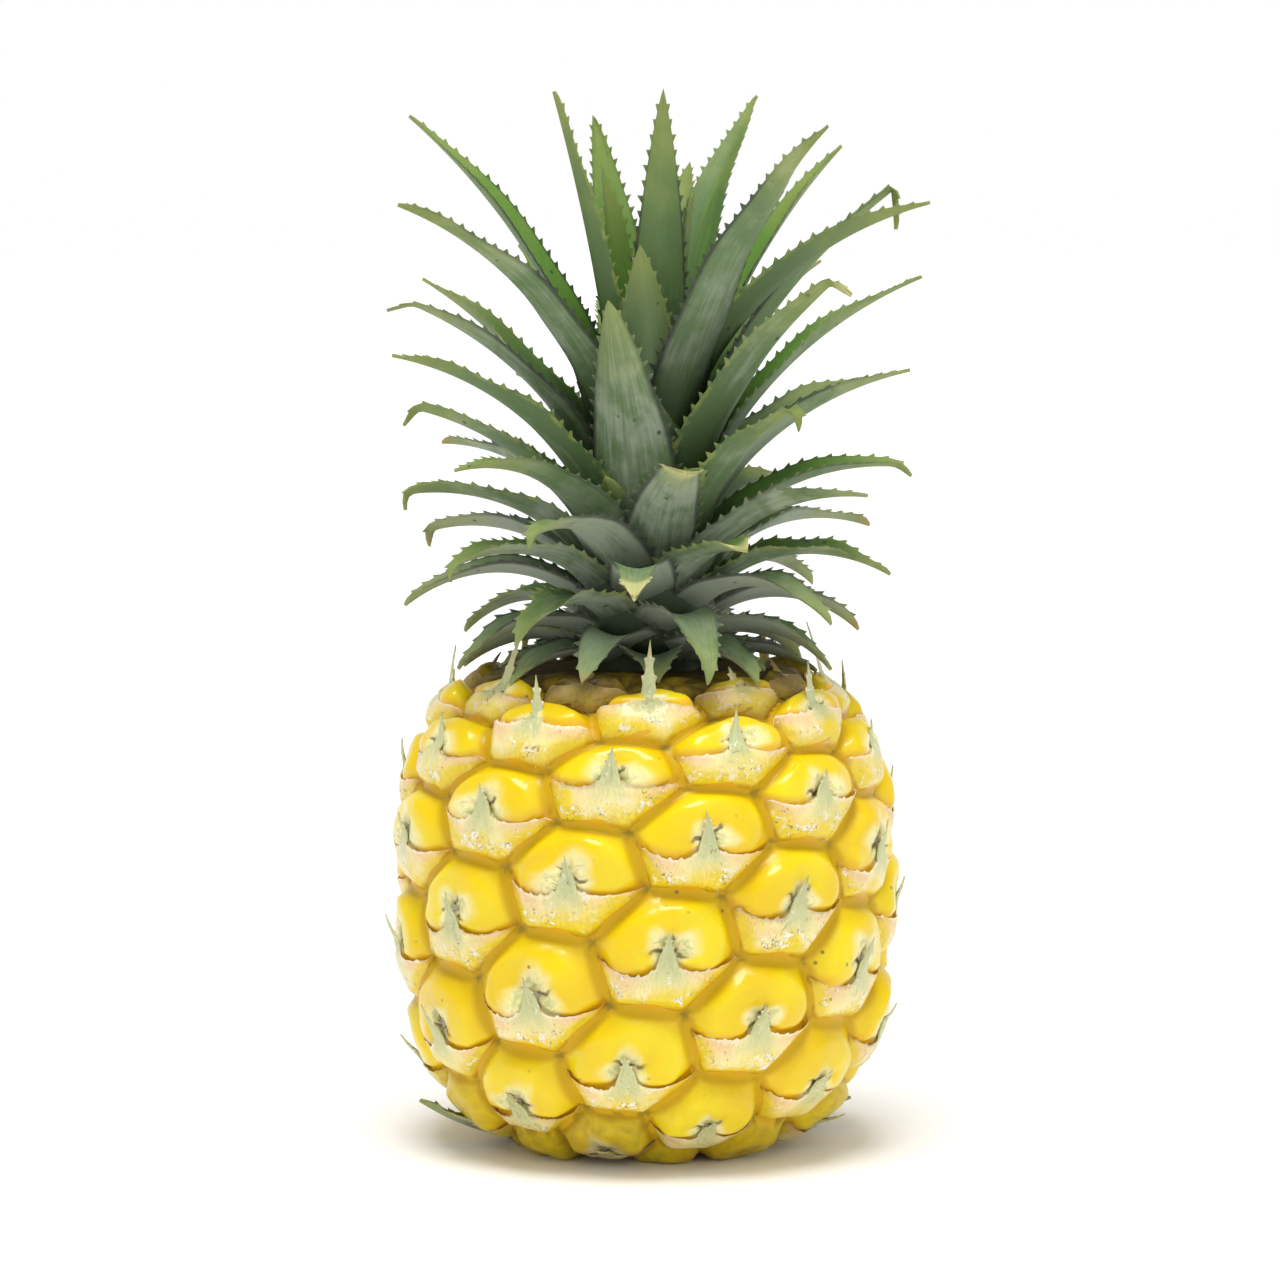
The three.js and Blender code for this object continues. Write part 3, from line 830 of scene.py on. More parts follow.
@dataclass
class FruitProfile:
    """The fruit's smooth outline, which every eye is laid on. Sizes in millimetres."""

    radius: float = 47.2
    widest: float = 47.5
    above: float = 45.0
    below: float = 50.0
    round_above: float = 3.4
    round_below: float = 2.8
    steps: int = 1200
    table: np.ndarray = field(init=False)

    def __post_init__(self) -> None:
        """Works out rows of conformal height, radius and height, from the base's middle to the top's."""
        turn = (np.arange(self.steps + 1) / self.steps * 2 - 1) * (math.pi / 2)
        high = turn > 0
        power = 2 / np.where(high, self.round_above, self.round_below)
        half = np.where(high, self.above, self.below)
        radius = self.radius * np.abs(np.cos(turn)) ** power
        height = self.widest + half * np.sign(turn) * np.abs(np.sin(turn)) ** power
        run = np.hypot(np.diff(radius), np.diff(height))
        between = np.maximum((radius[1:] + radius[:-1]) / 2, 1e-3)
        conformal = np.concatenate([[0.0], np.cumsum(run / between)])
        conformal -= conformal[self.steps // 2]
        self.table = np.stack([conformal, radius, height], axis=1)

    def radius_at(self, conformal: np.ndarray | float) -> np.ndarray:
        """The radius at a conformal height."""
        return np.interp(conformal, self.table[:, 0], self.table[:, 1])

    def out_at(self, conformal: np.ndarray | float) -> tuple[np.ndarray, np.ndarray]:
        """The outward direction at a conformal height, as its radial and upward parts.

        Args:
            conformal: The conformal height.

        Returns:
            The radial part and the upward part.
        """
        index = np.searchsorted(self.table[:, 0], conformal, side="right") - 1
        index = np.clip(index, 0, self.steps - 1)
        step = self.table[index + 1] - self.table[index]
        run = np.hypot(step[..., 1], step[..., 2])
        return step[..., 2] / run, -step[..., 1] / run

    def skin(self, azimuth: np.ndarray, conformal: np.ndarray, lift: np.ndarray | float) -> np.ndarray:
        """Points on the fruit.

        Args:
            azimuth: Degrees round the fruit.
            conformal: Conformal heights.
            lift: How far each stands off the outline.

        Returns:
            One row for each point. None is below the surface that the fruit stands on.
        """
        out_r, out_z = self.out_at(conformal)
        radius = self.radius_at(conformal) + out_r * lift
        height = np.interp(conformal, self.table[:, 0], self.table[:, 2]) + out_z * lift
        turn = np.radians(azimuth)
        return np.stack(
            [radius * np.sin(turn), -radius * np.cos(turn), np.maximum(height, 0.0)], axis=-1
        )

    def axes_at(self, azimuth: float, conformal: float) -> tuple[np.ndarray, np.ndarray, np.ndarray]:
        """The directions east, north and out of the fruit at a place.

        Args:
            azimuth: Degrees round the fruit.
            conformal: The conformal height.

        Returns:
            East, north and out, each of length 1.
        """
        out_r, out_z = self.out_at(conformal)
        turn = math.radians(azimuth)
        out = np.array([math.sin(turn) * out_r, -math.cos(turn) * out_r, out_z], dtype=float)
        east = np.array([math.cos(turn), math.sin(turn), 0.0])
        return east, np.cross(out, east), out


@dataclass(frozen=True)
class EyeSpiral:
    """Where the eyes sit: each is a turn round from the last, and a step up."""

    turn: float = 137.76
    first_azimuth: float = 4.9
    first_height: float = -0.088
    step: float = 0.0359
    step_loss: float = 0.000166
    steady_from: int = 40
    lowest: int = -37
    highest: int = 56
    plain_below: int = -27
    plain_above: int = 44

    def height(self, eye: int) -> float:
        """The conformal height of an eye.

        Args:
            eye: The eye's number.

        Returns:
            Its conformal height.
        """
        steady = min(eye, self.steady_from)
        slope = self.step - 2 * self.step_loss * self.steady_from
        curved = self.step * steady - self.step_loss * steady * steady
        return self.first_height + curved + slope * max(eye - self.steady_from, 0)

    def place(self, eye: int, step: int = 0) -> np.ndarray:
        """An eye's azimuth and conformal height, or its neighbour's without a jump of a full turn."""
        turn = -step * self.turn
        turn -= 360 * round(turn / 360)
        return np.array([self.first_azimuth - eye * self.turn + turn, self.height(eye + step)])

    def is_plain(self, eye: int) -> bool:
        """Whether an eye lies under the base or the crown, where it stays undeveloped."""
        return eye < self.plain_below or eye > self.plain_above


@dataclass
class EyeCell:
    """One eye's own patch of the fruit, with its own small differences."""

    profile: FruitProfile
    spiral: EyeSpiral
    eye: int
    around: tuple[int, ...] = (5, 13, 8, -5, -13, -8)
    side_steps: int = 10
    full_height: float = 22.0
    groove: tuple[float, float] = (2.2, 3.0)
    crest: float = 1.0
    shoulder_crest: float = 2.8
    crest_spread: tuple[float, float] = (-0.4, 0.45)
    dip: float = 1.1
    dip_spread: tuple[float, float] = (0.6, 1.5)
    star_spread: tuple[float, float] = (0.28, 0.52)
    low_edge: tuple[float, float] = (-0.25, -0.08)
    cusp_rise: tuple[float, float] = (0.16, 0.26)
    end_rise: tuple[float, float] = (0.04, 0.24)
    cusp_width: float = 0.45
    fissure_depth: float = 0.55
    fissure_turns: tuple[float, float, float] = (0.0, 125.0, 235.0)
    lump: float = 0.2
    slant: float = 0.6
    bed_depth: float = 0.12
    weld_zone: float = 0.04

    def __post_init__(self) -> None:
        """Works out the eye's outline and draws its own differences."""
        self.centre = self.spiral.place(self.eye)
        near = [self.spiral.place(self.eye, step) for step in self.around]
        corners = [(self.centre + a + b) / 3 for a, b in zip(near, near[1:] + near[:1])]
        shares = np.arange(self.side_steps) / self.side_steps
        sides = [
            mix(a[None, :], b[None, :], shares[:, None])
            for a, b in zip(corners, corners[1:] + corners[:1])
        ]
        self.border = np.concatenate(sides)
        self.border_corner = np.tile(np.abs(2 * shares - 1), len(self.around))
        offset = self.border - self.centre
        self.border_turn = np.arctan2(np.radians(offset[:, 0]), offset[:, 1])
        self.scale = float(self.scale_at(self.centre[1]))
        self.shoulder = float(smooth(self.centre[1], 0.5, 0.95))
        self.swelling = float(self.shoulder * smooth(self.centre[1], 1.25, 1.1))
        # Painted shade: eyes under the crown are darkened in colour. Eyes near the base are darkened
        # too, partly as dirt and partly as painted shade.
        base_dirt_and_shade = 0.5 * smooth(self.centre[1], -0.70, -1.15)
        self.painted_shade = float(smooth(self.centre[1], 0.96, 1.14) + base_dirt_and_shade)
        draw = draws(Seed.EYE, self.eye)
        self.own = draw.random(3)
        self.crest_here = self.crest + draw.uniform(*self.crest_spread)
        self.crest_here += self.shoulder_crest * self.swelling
        self.dip_here = self.dip * draw.uniform(*self.dip_spread)
        self.star = draw.uniform(*self.star_spread)
        self.middle = draw.uniform(-0.05, 0.05, 2) + (0.0, 0.03)
        self.low = mix(*self.low_edge, self.shoulder) + draw.uniform(-0.08, 0.08)
        self.cusp = self.low + draw.uniform(*self.cusp_rise)
        self.ends = self.low + draw.uniform(*self.end_rise, 2)
        self.fissures = draw.uniform(0, 360) + np.array(self.fissure_turns) + draw.uniform(-15, 15, 3)
        self.lumps = draw.uniform(2.5, 6.0, (4, 2)) * draw.choice([-1, 1], (4, 2))
        self.lump_phases = draw.uniform(0, 2 * math.pi, 4)
        self.slope = draw.uniform(-self.slant, self.slant, 2)

    def scale_at(self, conformal: np.ndarray | float) -> np.ndarray:
        """The size of the eyes at a conformal height, against a full-size one."""
        step = np.clip(0.034 - 0.008 * np.asarray(conformal), 0.024, 0.046)
        return np.minimum(1.0, self.profile.radius_at(conformal) * step * 13 / self.full_height)

    def margin(self, x: np.ndarray) -> np.ndarray:
        """The height of the bract's free edge across the eye: two arcs that meet at a cusp.

        Args:
            x: Places across the eye.

        Returns:
            The edge's place up the eye at each.
        """
        side = np.abs(x)
        inner = (self.cusp - self.low) * np.clip(1 - side / self.cusp_width, 0, 1) ** 2.2
        end = np.where(x < 0, self.ends[0], self.ends[1])
        outer = (end - self.low) * np.clip((side - self.cusp_width) / 0.5, 0, 1) ** 2.0
        return self.low + inner + outer

    def foot(self, edge: np.ndarray, corner: np.ndarray) -> np.ndarray:
        """The lift of the bract's foot, which rises gently out of the groove."""
        depth = mix(*self.groove, corner**2)
        rise = 0.6 * smooth(edge, 0.01, 0.30) + 0.4 * smooth(edge, 0.02, 0.65)
        return -depth + (depth + 0.5 + 0.8 * (self.crest_here - self.crest)) * rise

    def dome(self, x: np.ndarray, y: np.ndarray, edge: np.ndarray, corner: np.ndarray) -> np.ndarray:
        """The swollen part: steep sides, a flat crest and a sunken, fissured middle.

        Args:
            x: Places across the eye.
            y: Places up the eye.
            edge: How far in from the outline they are, from 0 to 1.
            corner: How near the closest corner, from 0 to 1.

        Returns:
            How far each place stands off the fruit's outline, in millimetres.
        """
        depth = mix(*self.groove, corner**2)
        steep = smooth(edge, 0.02, mix(0.28, 0.46, corner**2))
        lift = -depth + (depth + self.crest_here) * (0.84 * steep + 0.16 * smooth(edge, 0.1, 0.7))
        lift = lift + steep * (self.slope[0] * x + self.slope[1] * y)
        for (across, up), phase in zip(self.lumps, self.lump_phases):
            lift = lift + self.lump * steep * np.sin(across * x + up * y + phase)
        dx, dy = x - self.middle[0], y - self.middle[1]
        from_middle = np.hypot(dx, dy)
        lift = lift - self.dip_here * bump_at(from_middle, 0.24)
        return lift - self.fissure_depth * self.fissured(x, y)

    def relief(self, x: np.ndarray, y: np.ndarray, edge: np.ndarray, corner: np.ndarray) -> np.ndarray:
        """The whole rind, with the crease where the dome tucks in behind the bract.

        Args:
            x: Places across the eye.
            y: Places up the eye.
            edge: How far in from the outline they are, from 0 to 1.
            corner: How near the closest corner, from 0 to 1.

        Returns:
            The lift of each place. On the outline it is the groove's alone, so that two eyes meet.
        """
        above = y - self.margin(x)
        inside = smooth(edge, 0.0, self.weld_zone)
        swollen = self.dome(x, y, edge, corner) - inside * bump_at(np.maximum(above, 0), 0.07)
        covered = self.foot(edge, corner) - self.bed_depth * inside
        return mix(covered, swollen, smooth(above, -0.05, 0.02))

    def fissured(self, x: np.ndarray, y: np.ndarray) -> np.ndarray:
        """How near each place is to a fissure, from 0 to 1.

        Args:
            x: Places across the eye.
            y: Places up the eye.

        Returns:
            One number for each place.
        """
        dx, dy = x - self.middle[0], y - self.middle[1]
        near = np.zeros_like(x)
        for turn in np.radians(self.fissures):
            along = dx * math.sin(turn) + dy * math.cos(turn)
            beside = dx * math.cos(turn) - dy * math.sin(turn)
            line = bump_at(beside + 0.03 * np.sin(along * 25), 0.045)
            near = np.maximum(near, line * smooth(along, 0.0, 0.06) * smooth(along, 0.5, 0.15))
        return np.maximum(near, bump_at(np.hypot(dx, dy), 0.09))

    def tones(self, x: np.ndarray, y: np.ndarray, edge: np.ndarray) -> np.ndarray:
        """Rows of masks for the rind's colour: groove, star and crease, which places painted shade where
        the dome tucks behind the bract.

        Args:
            x: Places across the eye.
            y: Places up the eye.
            edge: How far in from the outline they are, from 0 to 1.

        Returns:
            One row for each place.
        """
        above = y - self.margin(x)
        groove = 1 - smooth(edge, 0.03, 0.20)
        dx, dy = x - self.middle[0], y - self.middle[1]
        turn = np.degrees(np.arctan2(dx, dy))
        rays = sum(bump_at((turn - ray - 60 + 180) % 360 - 180, 34.0) for ray in self.fissures)
        star = smooth(np.hypot(dx, dy), self.star * (1 + 0.75 * rays), 0.05)
        # The crease mask is for painted shade where the dome tucks behind the bract.
        crease = smooth(above, 0.16, 0.0) * smooth(edge, 0.0, 0.1)
        return np.stack([groove, star, crease], axis=1)

    def on_skin(self, x: np.ndarray, y: np.ndarray, lift: np.ndarray) -> np.ndarray:
        """Points of the eye from its own x and y, where its outline is at a distance of 1.

        Args:
            x: Places across the eye.
            y: Places up the eye.
            lift: How far each stands off the fruit's outline.

        Returns:
            One row for each point.
        """
        share = np.hypot(x, y)
        turn = np.arctan2(x, y)
        border = [
            np.interp(turn, *self.sorted_border(column), period=2 * math.pi) for column in (0, 1)
        ]
        azimuth = mix(self.centre[0], border[0], share)
        conformal = mix(self.centre[1], border[1], share)
        return self.profile.skin(azimuth, conformal, lift * self.scale)

    def sorted_border(self, column: int) -> tuple[np.ndarray, np.ndarray]:
        """The outline's directions in rising order, with one of its coordinates."""
        order = np.argsort(self.border_turn)
        return self.border_turn[order], self.border[order, column]

    def point_tip(self) -> np.ndarray:
        """Where the bract's point ends.

        Returns:
            The tip, in millimetres.
        """
        azimuth, conformal = self.centre
        under = smooth(conformal, 0.98, 1.1)
        high = smooth(conformal, 0.6, 0.95) * (1 - under)
        reach = float(mix(4.4, 9.5, high)) * (0.85 + 0.35 * self.own[1])
        lean = float(mix(0.3, 0.75, high))
        _, north, out = self.profile.axes_at(azimuth, conformal)
        start = self.profile.skin(np.array(azimuth), np.array(conformal), 1.2)
        return start + north * reach + out * reach * lean


@dataclass
class Rind:
    """The fruit's skin: a domed cell for each eye, welded along the grooves."""

    profile: FruitProfile
    cells: list[EyeCell]
    full_rings: int = 18
    plain_rings: int = 6
    stalk_radius: float = 9.3
    pit_depth: float = 5.0
    sharp: float = 75.0

    def model_cell(self, rings: int, sides: int) -> bpy.types.Object:
        """Models a flat disc of rings as an eye's master.

        Args:
            rings: How many rings it has inside its outline.
            sides: How many points its outline has.

        Returns:
            The disc, of radius 1, facing up.
        """
        Bench.clear()
        bpy.ops.mesh.primitive_circle_add(vertices=sides, radius=1.0, fill_type="NOTHING")
        disc = bpy.context.active_object
        with Bench.editing(disc):
            bpy.ops.mesh.select_all(action="SELECT")
            for ring in range(rings, 1, -1):
                bpy.ops.mesh.extrude_region()
                inward = (ring - 1) / ring
                bpy.ops.transform.resize(value=(inward, inward, 1.0), center_override=(0, 0, 0))
            bpy.ops.mesh.extrude_region()
            bpy.ops.mesh.merge(type="COLLAPSE")
            Bench.face_outward()
        if disc.data.polygons[0].normal.z < 0:
            disc.data.flip_normals()
        return disc

    def lay(self, master: bpy.types.Object, cell: EyeCell) -> bpy.types.Object:
        """Lays a copy of a master on its cell.

        Args:
            master: The flat disc.
            cell: The eye's patch of the fruit.

        Returns:
            The copy, in place.
        """
        flat = points_of(master)
        share = np.hypot(flat[:, 0], flat[:, 1])
        count = len(cell.border)
        turn = np.arctan2(flat[:, 1], flat[:, 0]) / (2 * math.pi) * count
        index = np.rint(turn).astype(int) % count
        border, corner = cell.border[index], cell.border_corner[index]
        own_turn = cell.border_turn[index]
        x, y = share * np.sin(own_turn), share * np.cos(own_turn)
        edge = np.clip(1 - share, 0, 1)
        place = mix(cell.centre[None, :], border, share[:, None])
        plain = cell.spiral.is_plain(cell.eye)
        relief = cell.dome(x, y, edge, corner) if plain else cell.relief(x, y, edge, corner)
        scale = np.where(edge < 1e-4, cell.scale_at(place[:, 1]), cell.scale)
        points = self.profile.skin(place[:, 0], place[:, 1], relief * scale)
        tones = cell.tones(x, y, edge)
        if plain:
            tones[:, 1:] = 0
        cracked = cell.fissured(x, y) * (not plain)
        # The third tint is painted shade under the crown, and near the base partly dirt and partly
        # painted shade.
        tint = [np.full_like(x, cell.own[0]), cracked, np.full_like(x, cell.painted_shade)]
        return laid_copy(
            master,
            f"eye_{cell.eye}",
            self.sunk(points),
            tone=tones,
            place=np.stack([x, y, corner], axis=1),
            tint=np.stack(tint, axis=1),
        )

    def sunk(self, points: np.ndarray) -> np.ndarray:
        """Sinks the middle of the base into a pit round the stalk.

        Args:
            points: The points of an eye.

        Returns:
            The points, sunk where they lie in the pit.
        """
        radius = np.hypot(points[:, 0], points[:, 1])
        pit = smooth(radius, self.stalk_radius, self.stalk_radius - 0.8) * (points[:, 2] < 20)
        points[:, 2] += self.pit_depth * pit
        return points

    def build(self) -> None:
        """Makes the rind, welds its eyes and closes it under the base and the crown."""
        sides = len(self.cells[0].border)
        full = self.model_cell(self.full_rings, sides)
        plain = self.model_cell(self.plain_rings, sides)
        laid = [
            self.lay(plain if cell.spiral.is_plain(cell.eye) else full, cell) for cell in self.cells
        ]
        discard(full)
        discard(plain)
        rind = joined(laid, "rind")
        with Bench.editing(rind):
            bpy.ops.mesh.select_all(action="SELECT")
            bpy.ops.mesh.remove_doubles(threshold=WELD)
            bpy.ops.mesh.select_all(action="DESELECT")
            bpy.ops.mesh.select_mode(type="EDGE")
            bpy.ops.mesh.select_non_manifold(extend=False)
            bpy.ops.mesh.edge_face_add()
        settle(rind, self.sharp, RindFinish(), Slot.FRUIT, "fruit")


@dataclass
class Bracts:
    """The thin bract under each eye, with a frayed edge and a point that lies over the eye."""

    profile: FruitProfile
    cells: list[EyeCell]
    columns: int = 24
    rows: int = 9
    point_columns: int = 4
    point_rows: int = 8
    thickness: float = 0.3
    fray: float = 0.7
    barb: float = 0.55
    shoulder_point: float = 0.7
    foot_turn: float = 84.0
    foot_out: float = 0.95
    edge_out: float = 0.96
    point_root: float = 1.35
    point_end: float = 0.55
    point_camber: float = 0.45
    point_swing: float = 1.8
    sharp: float = 50.0

    @property
    def point_half(self) -> float:
        """Half of the point's width at its root, as a share of the bract's half width."""
        return self.point_columns / self.columns

    def model_bract(self) -> bpy.types.Object:
        """Models a flat bract as the master: u across from -1 to 1, v up from 0 to 1, then its point.

        Returns:
            The master, with its outer face at 1 and its inner one at 0.
        """
        Bench.clear()
        bpy.ops.mesh.primitive_grid_add(
            x_subdivisions=self.columns, y_subdivisions=self.rows, size=2.0
        )
        bract = bpy.context.active_object
        nearly = self.point_half + 0.01
        with Bench.editing(bract):
            Bench.pick("EDGE", lambda e: all(v.co.y > 0.999 and abs(v.co.x) < nearly for v in e.verts))
            for _ in range(self.point_rows - 1):
                Bench.extrude((0, 2 / self.point_rows, 0))
            bpy.ops.mesh.extrude_region()
            bpy.ops.transform.translate(value=(0, 2 / self.point_rows, 0))
            bpy.ops.mesh.merge(type="COLLAPSE")
            bpy.ops.mesh.select_all(action="SELECT")
            Bench.extrude((0, 0, 1))
            Bench.face_outward()
            self.fray_margin(nearly)
            for side in Side:
                self.barb_point(side, nearly)
            Bench.face_outward()
        number_by_place(bract)
        return bract

    def fray_margin(self, nearly: float) -> None:
        """Pulls every other face of the free edge out to a fine tooth.

        Args:
            nearly: How far from its middle the point reaches.
        """
        width = 2 / self.columns

        def wanted(face: Any) -> bool:
            """Whether a face is on the free edge, outside the point, and at an odd place."""
            middle = face.calc_center_median()
            odd = int(math.floor((middle.x + 1) / width)) % 2 == 1
            return face.normal.y > 0.9 and middle.y > 0.99 and abs(middle.x) > nearly and odd

        Bench.pull_to_tips(wanted, (0, 0.5, 0))

    def barb_point(self, side: Side, nearly: float) -> None:
        """Pulls every other face along one side of the point out to a small barb.

        Args:
            side: The side.
            nearly: How far from its middle the point reaches.
        """
        height = 2 / self.point_rows

        def wanted(face: Any) -> bool:
            """Whether a face is on that side of the point, and at an odd place."""
            middle = face.calc_center_median()
            odd = int(math.floor((middle.y - 1) / height)) % 2 == 1
            on_side = face.normal.x * side.value > 0.9 and abs(middle.x) < nearly
            return on_side and middle.y > 1.7 and middle.y < 3.0 - height and odd

        Bench.pull_to_tips(wanted, (side.value * self.point_half, height * 0.4, 0))

    def sheet(self, cell: EyeCell, u: np.ndarray, v: np.ndarray, fray: np.ndarray) -> np.ndarray:
        """Points of a bract's broad part.

        Args:
            cell: The eye.
            u: Shares across, from -1 to 1.
            v: Shares up, from the groove at 0 to the free edge at 1.
            fray: How far each is pulled out beyond the free edge.

        Returns:
            One row for each point.
        """
        turn = u * math.radians(self.foot_turn)
        foot_x, foot_y = self.foot_out * np.sin(turn), -self.foot_out * np.cos(turn)
        edge_x = self.edge_out * u
        edge_y = cell.margin(edge_x)
        edge_y = mix(edge_y, foot_y, smooth(np.abs(u), 0.9, 1.0))
        x, y = mix(foot_x, edge_x, v), mix(foot_y, edge_y, v)
        room = np.clip(1 - np.hypot(x, y), 0, 1)
        corner = np.full_like(x, 0.3)
        wave = 0.16 * np.sin(u * 9 + cell.own[0] * 20) * v
        wave = wave + 0.10 * np.sin(u * 21 + cell.own[1] * 30) * smooth(v, 0.2, 0.6)
        proud = mix(-0.35, 0.12, smooth(v, 0.0, 0.22)) + 0.3 * v**3
        rim = 1 - np.abs(u) ** 4
        lift = cell.foot(room, corner) + mix(-0.35, proud, smooth(rim, 0.0, 0.35)) + wave * rim
        return cell.on_skin(x, y + fray * 0.04, lift + fray * 0.25)

    def point(self, cell: EyeCell, across: np.ndarray, share: np.ndarray) -> np.ndarray:
        """Points of a bract's tapering point.

        Args:
            cell: The eye.
            across: From -1 to 1 on the point, and beyond that on its barbs.
            share: From its root at 0 to its tip at 1.

        Returns:
            One row for each point.
        """
        azimuth, conformal = cell.centre
        east, north, out = self.profile.axes_at(azimuth, conformal)
        tip = cell.point_tip()
        zero = np.zeros(1)
        root = cell.on_skin(zero, zero + cell.cusp, zero + 1.0)[0]
        bend = mix(root, tip, 0.45) + out * 0.45 - north * 0.1
        t = share[:, None]
        middle = root * (1 - t) ** 2 + bend * 2 * t * (1 - t) + tip * t**2
        swing = (cell.own[2] - 0.5) * self.point_swing * share**2
        half = self.point_root * cell.scale * (1 - share) ** 1.9
        half = half + self.point_end * (1 - share) ** 0.7
        half = half + self.shoulder_point * cell.shoulder * (1 - share)
        barb = np.clip(np.abs(across) - 1, 0, 1) * self.barb
        sideways = np.clip(across, -1, 1) * half + np.sign(across) * barb + swing
        camber = -self.point_camber * np.clip(np.abs(across), 0, 1) ** 2 * half
        return middle + sideways[:, None] * east + camber[:, None] * out

    def lay(self, master: bpy.types.Object, cell: EyeCell) -> bpy.types.Object:
        """Lays a copy of the master under its eye.

        Args:
            master: The flat bract.
            cell: The eye.

        Returns:
            The bract, in place.
        """
        flat = points_of(master)
        u = np.clip(flat[:, 0], -1, 1)
        up = (flat[:, 1] + 1) / 2
        between = np.abs(flat[:, 0]) <= self.point_half + 0.01
        on_point = (up > 1.001) & (between | (up > 1.3))
        v = np.clip(up, 0, 1)
        fray = np.where(on_point, 0, np.clip(up - 1, 0, 1)) * 4 * self.fray
        fray *= draws(Seed.BRACT, cell.eye).uniform(0.3, 1.6, len(flat))
        points = self.sheet(cell, u, v, fray)
        share = np.clip(up - 1, 0, 1)
        slender = self.point(cell, flat[:, 0] / self.point_half, share)
        blend = np.where(on_point, smooth(share, 0.0, 0.3), 0)[:, None]
        points = mix(points, slender, blend)
        _, _, out = self.profile.axes_at(*cell.centre)
        inner = (1 - flat[:, 2])[:, None] * self.thickness
        points -= inner * out
        points[:, 2] = np.maximum(points[:, 2], 0.0)
        return laid_copy(
            master,
            f"bract_{cell.eye}",
            points,
            place=np.stack([u, v, np.where(on_point, share, 0)], axis=1),
            # The third tint is painted shade under the crown, and near the base partly dirt and partly
            # painted shade.
            tint=np.tile([cell.own[0], cell.own[2], cell.painted_shade], (len(flat), 1)),
        )

    def build(self) -> None:
        """Makes the bracts of the eyes that show."""
        master = self.model_bract()
        shown = [cell for cell in self.cells if not cell.spiral.is_plain(cell.eye)]
        laid = [self.lay(master, cell) for cell in shown]
        discard(master)
        settle(joined(laid, "bracts"), self.sharp, BractFinish(), Slot.FRUIT)


@dataclass
class WitheredFlowers:
    """The dry rest of the flower in each eye's middle: a tuft of bent filaments and three sepals."""

    profile: FruitProfile
    cells: list[EyeCell]
    filaments: int = 5
    sepals: int = 3
    sections: int = 5
    taper: float = 0.3
    sharp: float = 60.0

    def model_filament(self) -> bpy.types.Object:
        """Models one straight filament, 1 long, tapering to its tip.

        Returns:
            The filament, standing on the origin.
        """
        Bench.clear()
        bpy.ops.mesh.primitive_circle_add(vertices=5, radius=1.0, fill_type="NGON")
        filament = bpy.context.active_object
        with Bench.editing(filament):
            bpy.ops.mesh.select_all(action="SELECT")
            for section in range(self.sections):
                Bench.extrude((0, 0, 1 / self.sections))
                left = 1 - (section + 1) / self.sections * self.taper
                bpy.ops.transform.resize(value=(left, left, 1.0))
            bpy.ops.mesh.merge(type="COLLAPSE")
            Bench.face_outward()
        return filament

    def lay(self, master: bpy.types.Object, cell: EyeCell) -> list[bpy.types.Object]:
        """Lays the filaments of one eye.

        Args:
            master: The straight filament.
            cell: The eye.

        Returns:
            Its filaments, in place. The first three are the broad sepals.
        """
        draw = draws(Seed.FLOWER, cell.eye)
        east, north, out = self.profile.axes_at(*cell.centre)
        x, y = cell.middle[:1], cell.middle[1:]
        lift = cell.dome(x, y, np.ones(1), np.zeros(1))
        root = cell.on_skin(x, y, lift - 0.25)[0]
        flat = points_of(master)
        along = flat[:, 2]
        laid = []
        for number in range(self.filaments):
            broad = number < self.sepals
            turn = math.radians(cell.fissures[number % self.sepals] + 60 + draw.uniform(-25, 25))
            length = (draw.uniform(1.6, 2.6) if broad else draw.uniform(1.0, 2.2)) * cell.scale
            width = (draw.uniform(0.55, 0.8) if broad else draw.uniform(0.16, 0.26)) * cell.scale
            lie = draw.uniform(0.6, 0.9) if broad else draw.uniform(0.1, 0.6)
            heading = east * math.sin(turn) + north * math.cos(turn)
            beside = np.cross(out, heading)
            run = along * length * lie + 0.3 * length * along**2
            rise = length * (1 - lie) * along - 0.35 * length * lie * along**2 + 0.35
            sideways = flat[:, 0] * width
            off = rise + flat[:, 1] * width * (0.35 if broad else 1.0)
            points = root + np.stack([run, sideways, off], axis=1) @ np.stack([heading, beside, out])
            place = np.stack([along * 0, along, along * 0], axis=1)
            laid.append(laid_copy(master, f"filament_{cell.eye}_{number}", points, place=place))
        return laid

    def build(self) -> None:
        """Makes the withered flowers of the eyes that show."""
        master = self.model_filament()
        laid = []
        for cell in self.cells:
            if not cell.spiral.is_plain(cell.eye):
                laid += self.lay(master, cell)
        discard(master)
        settle(joined(laid, "withered_flowers"), self.sharp, FlowerFinish(), Slot.FRUIT)


# The leaves.


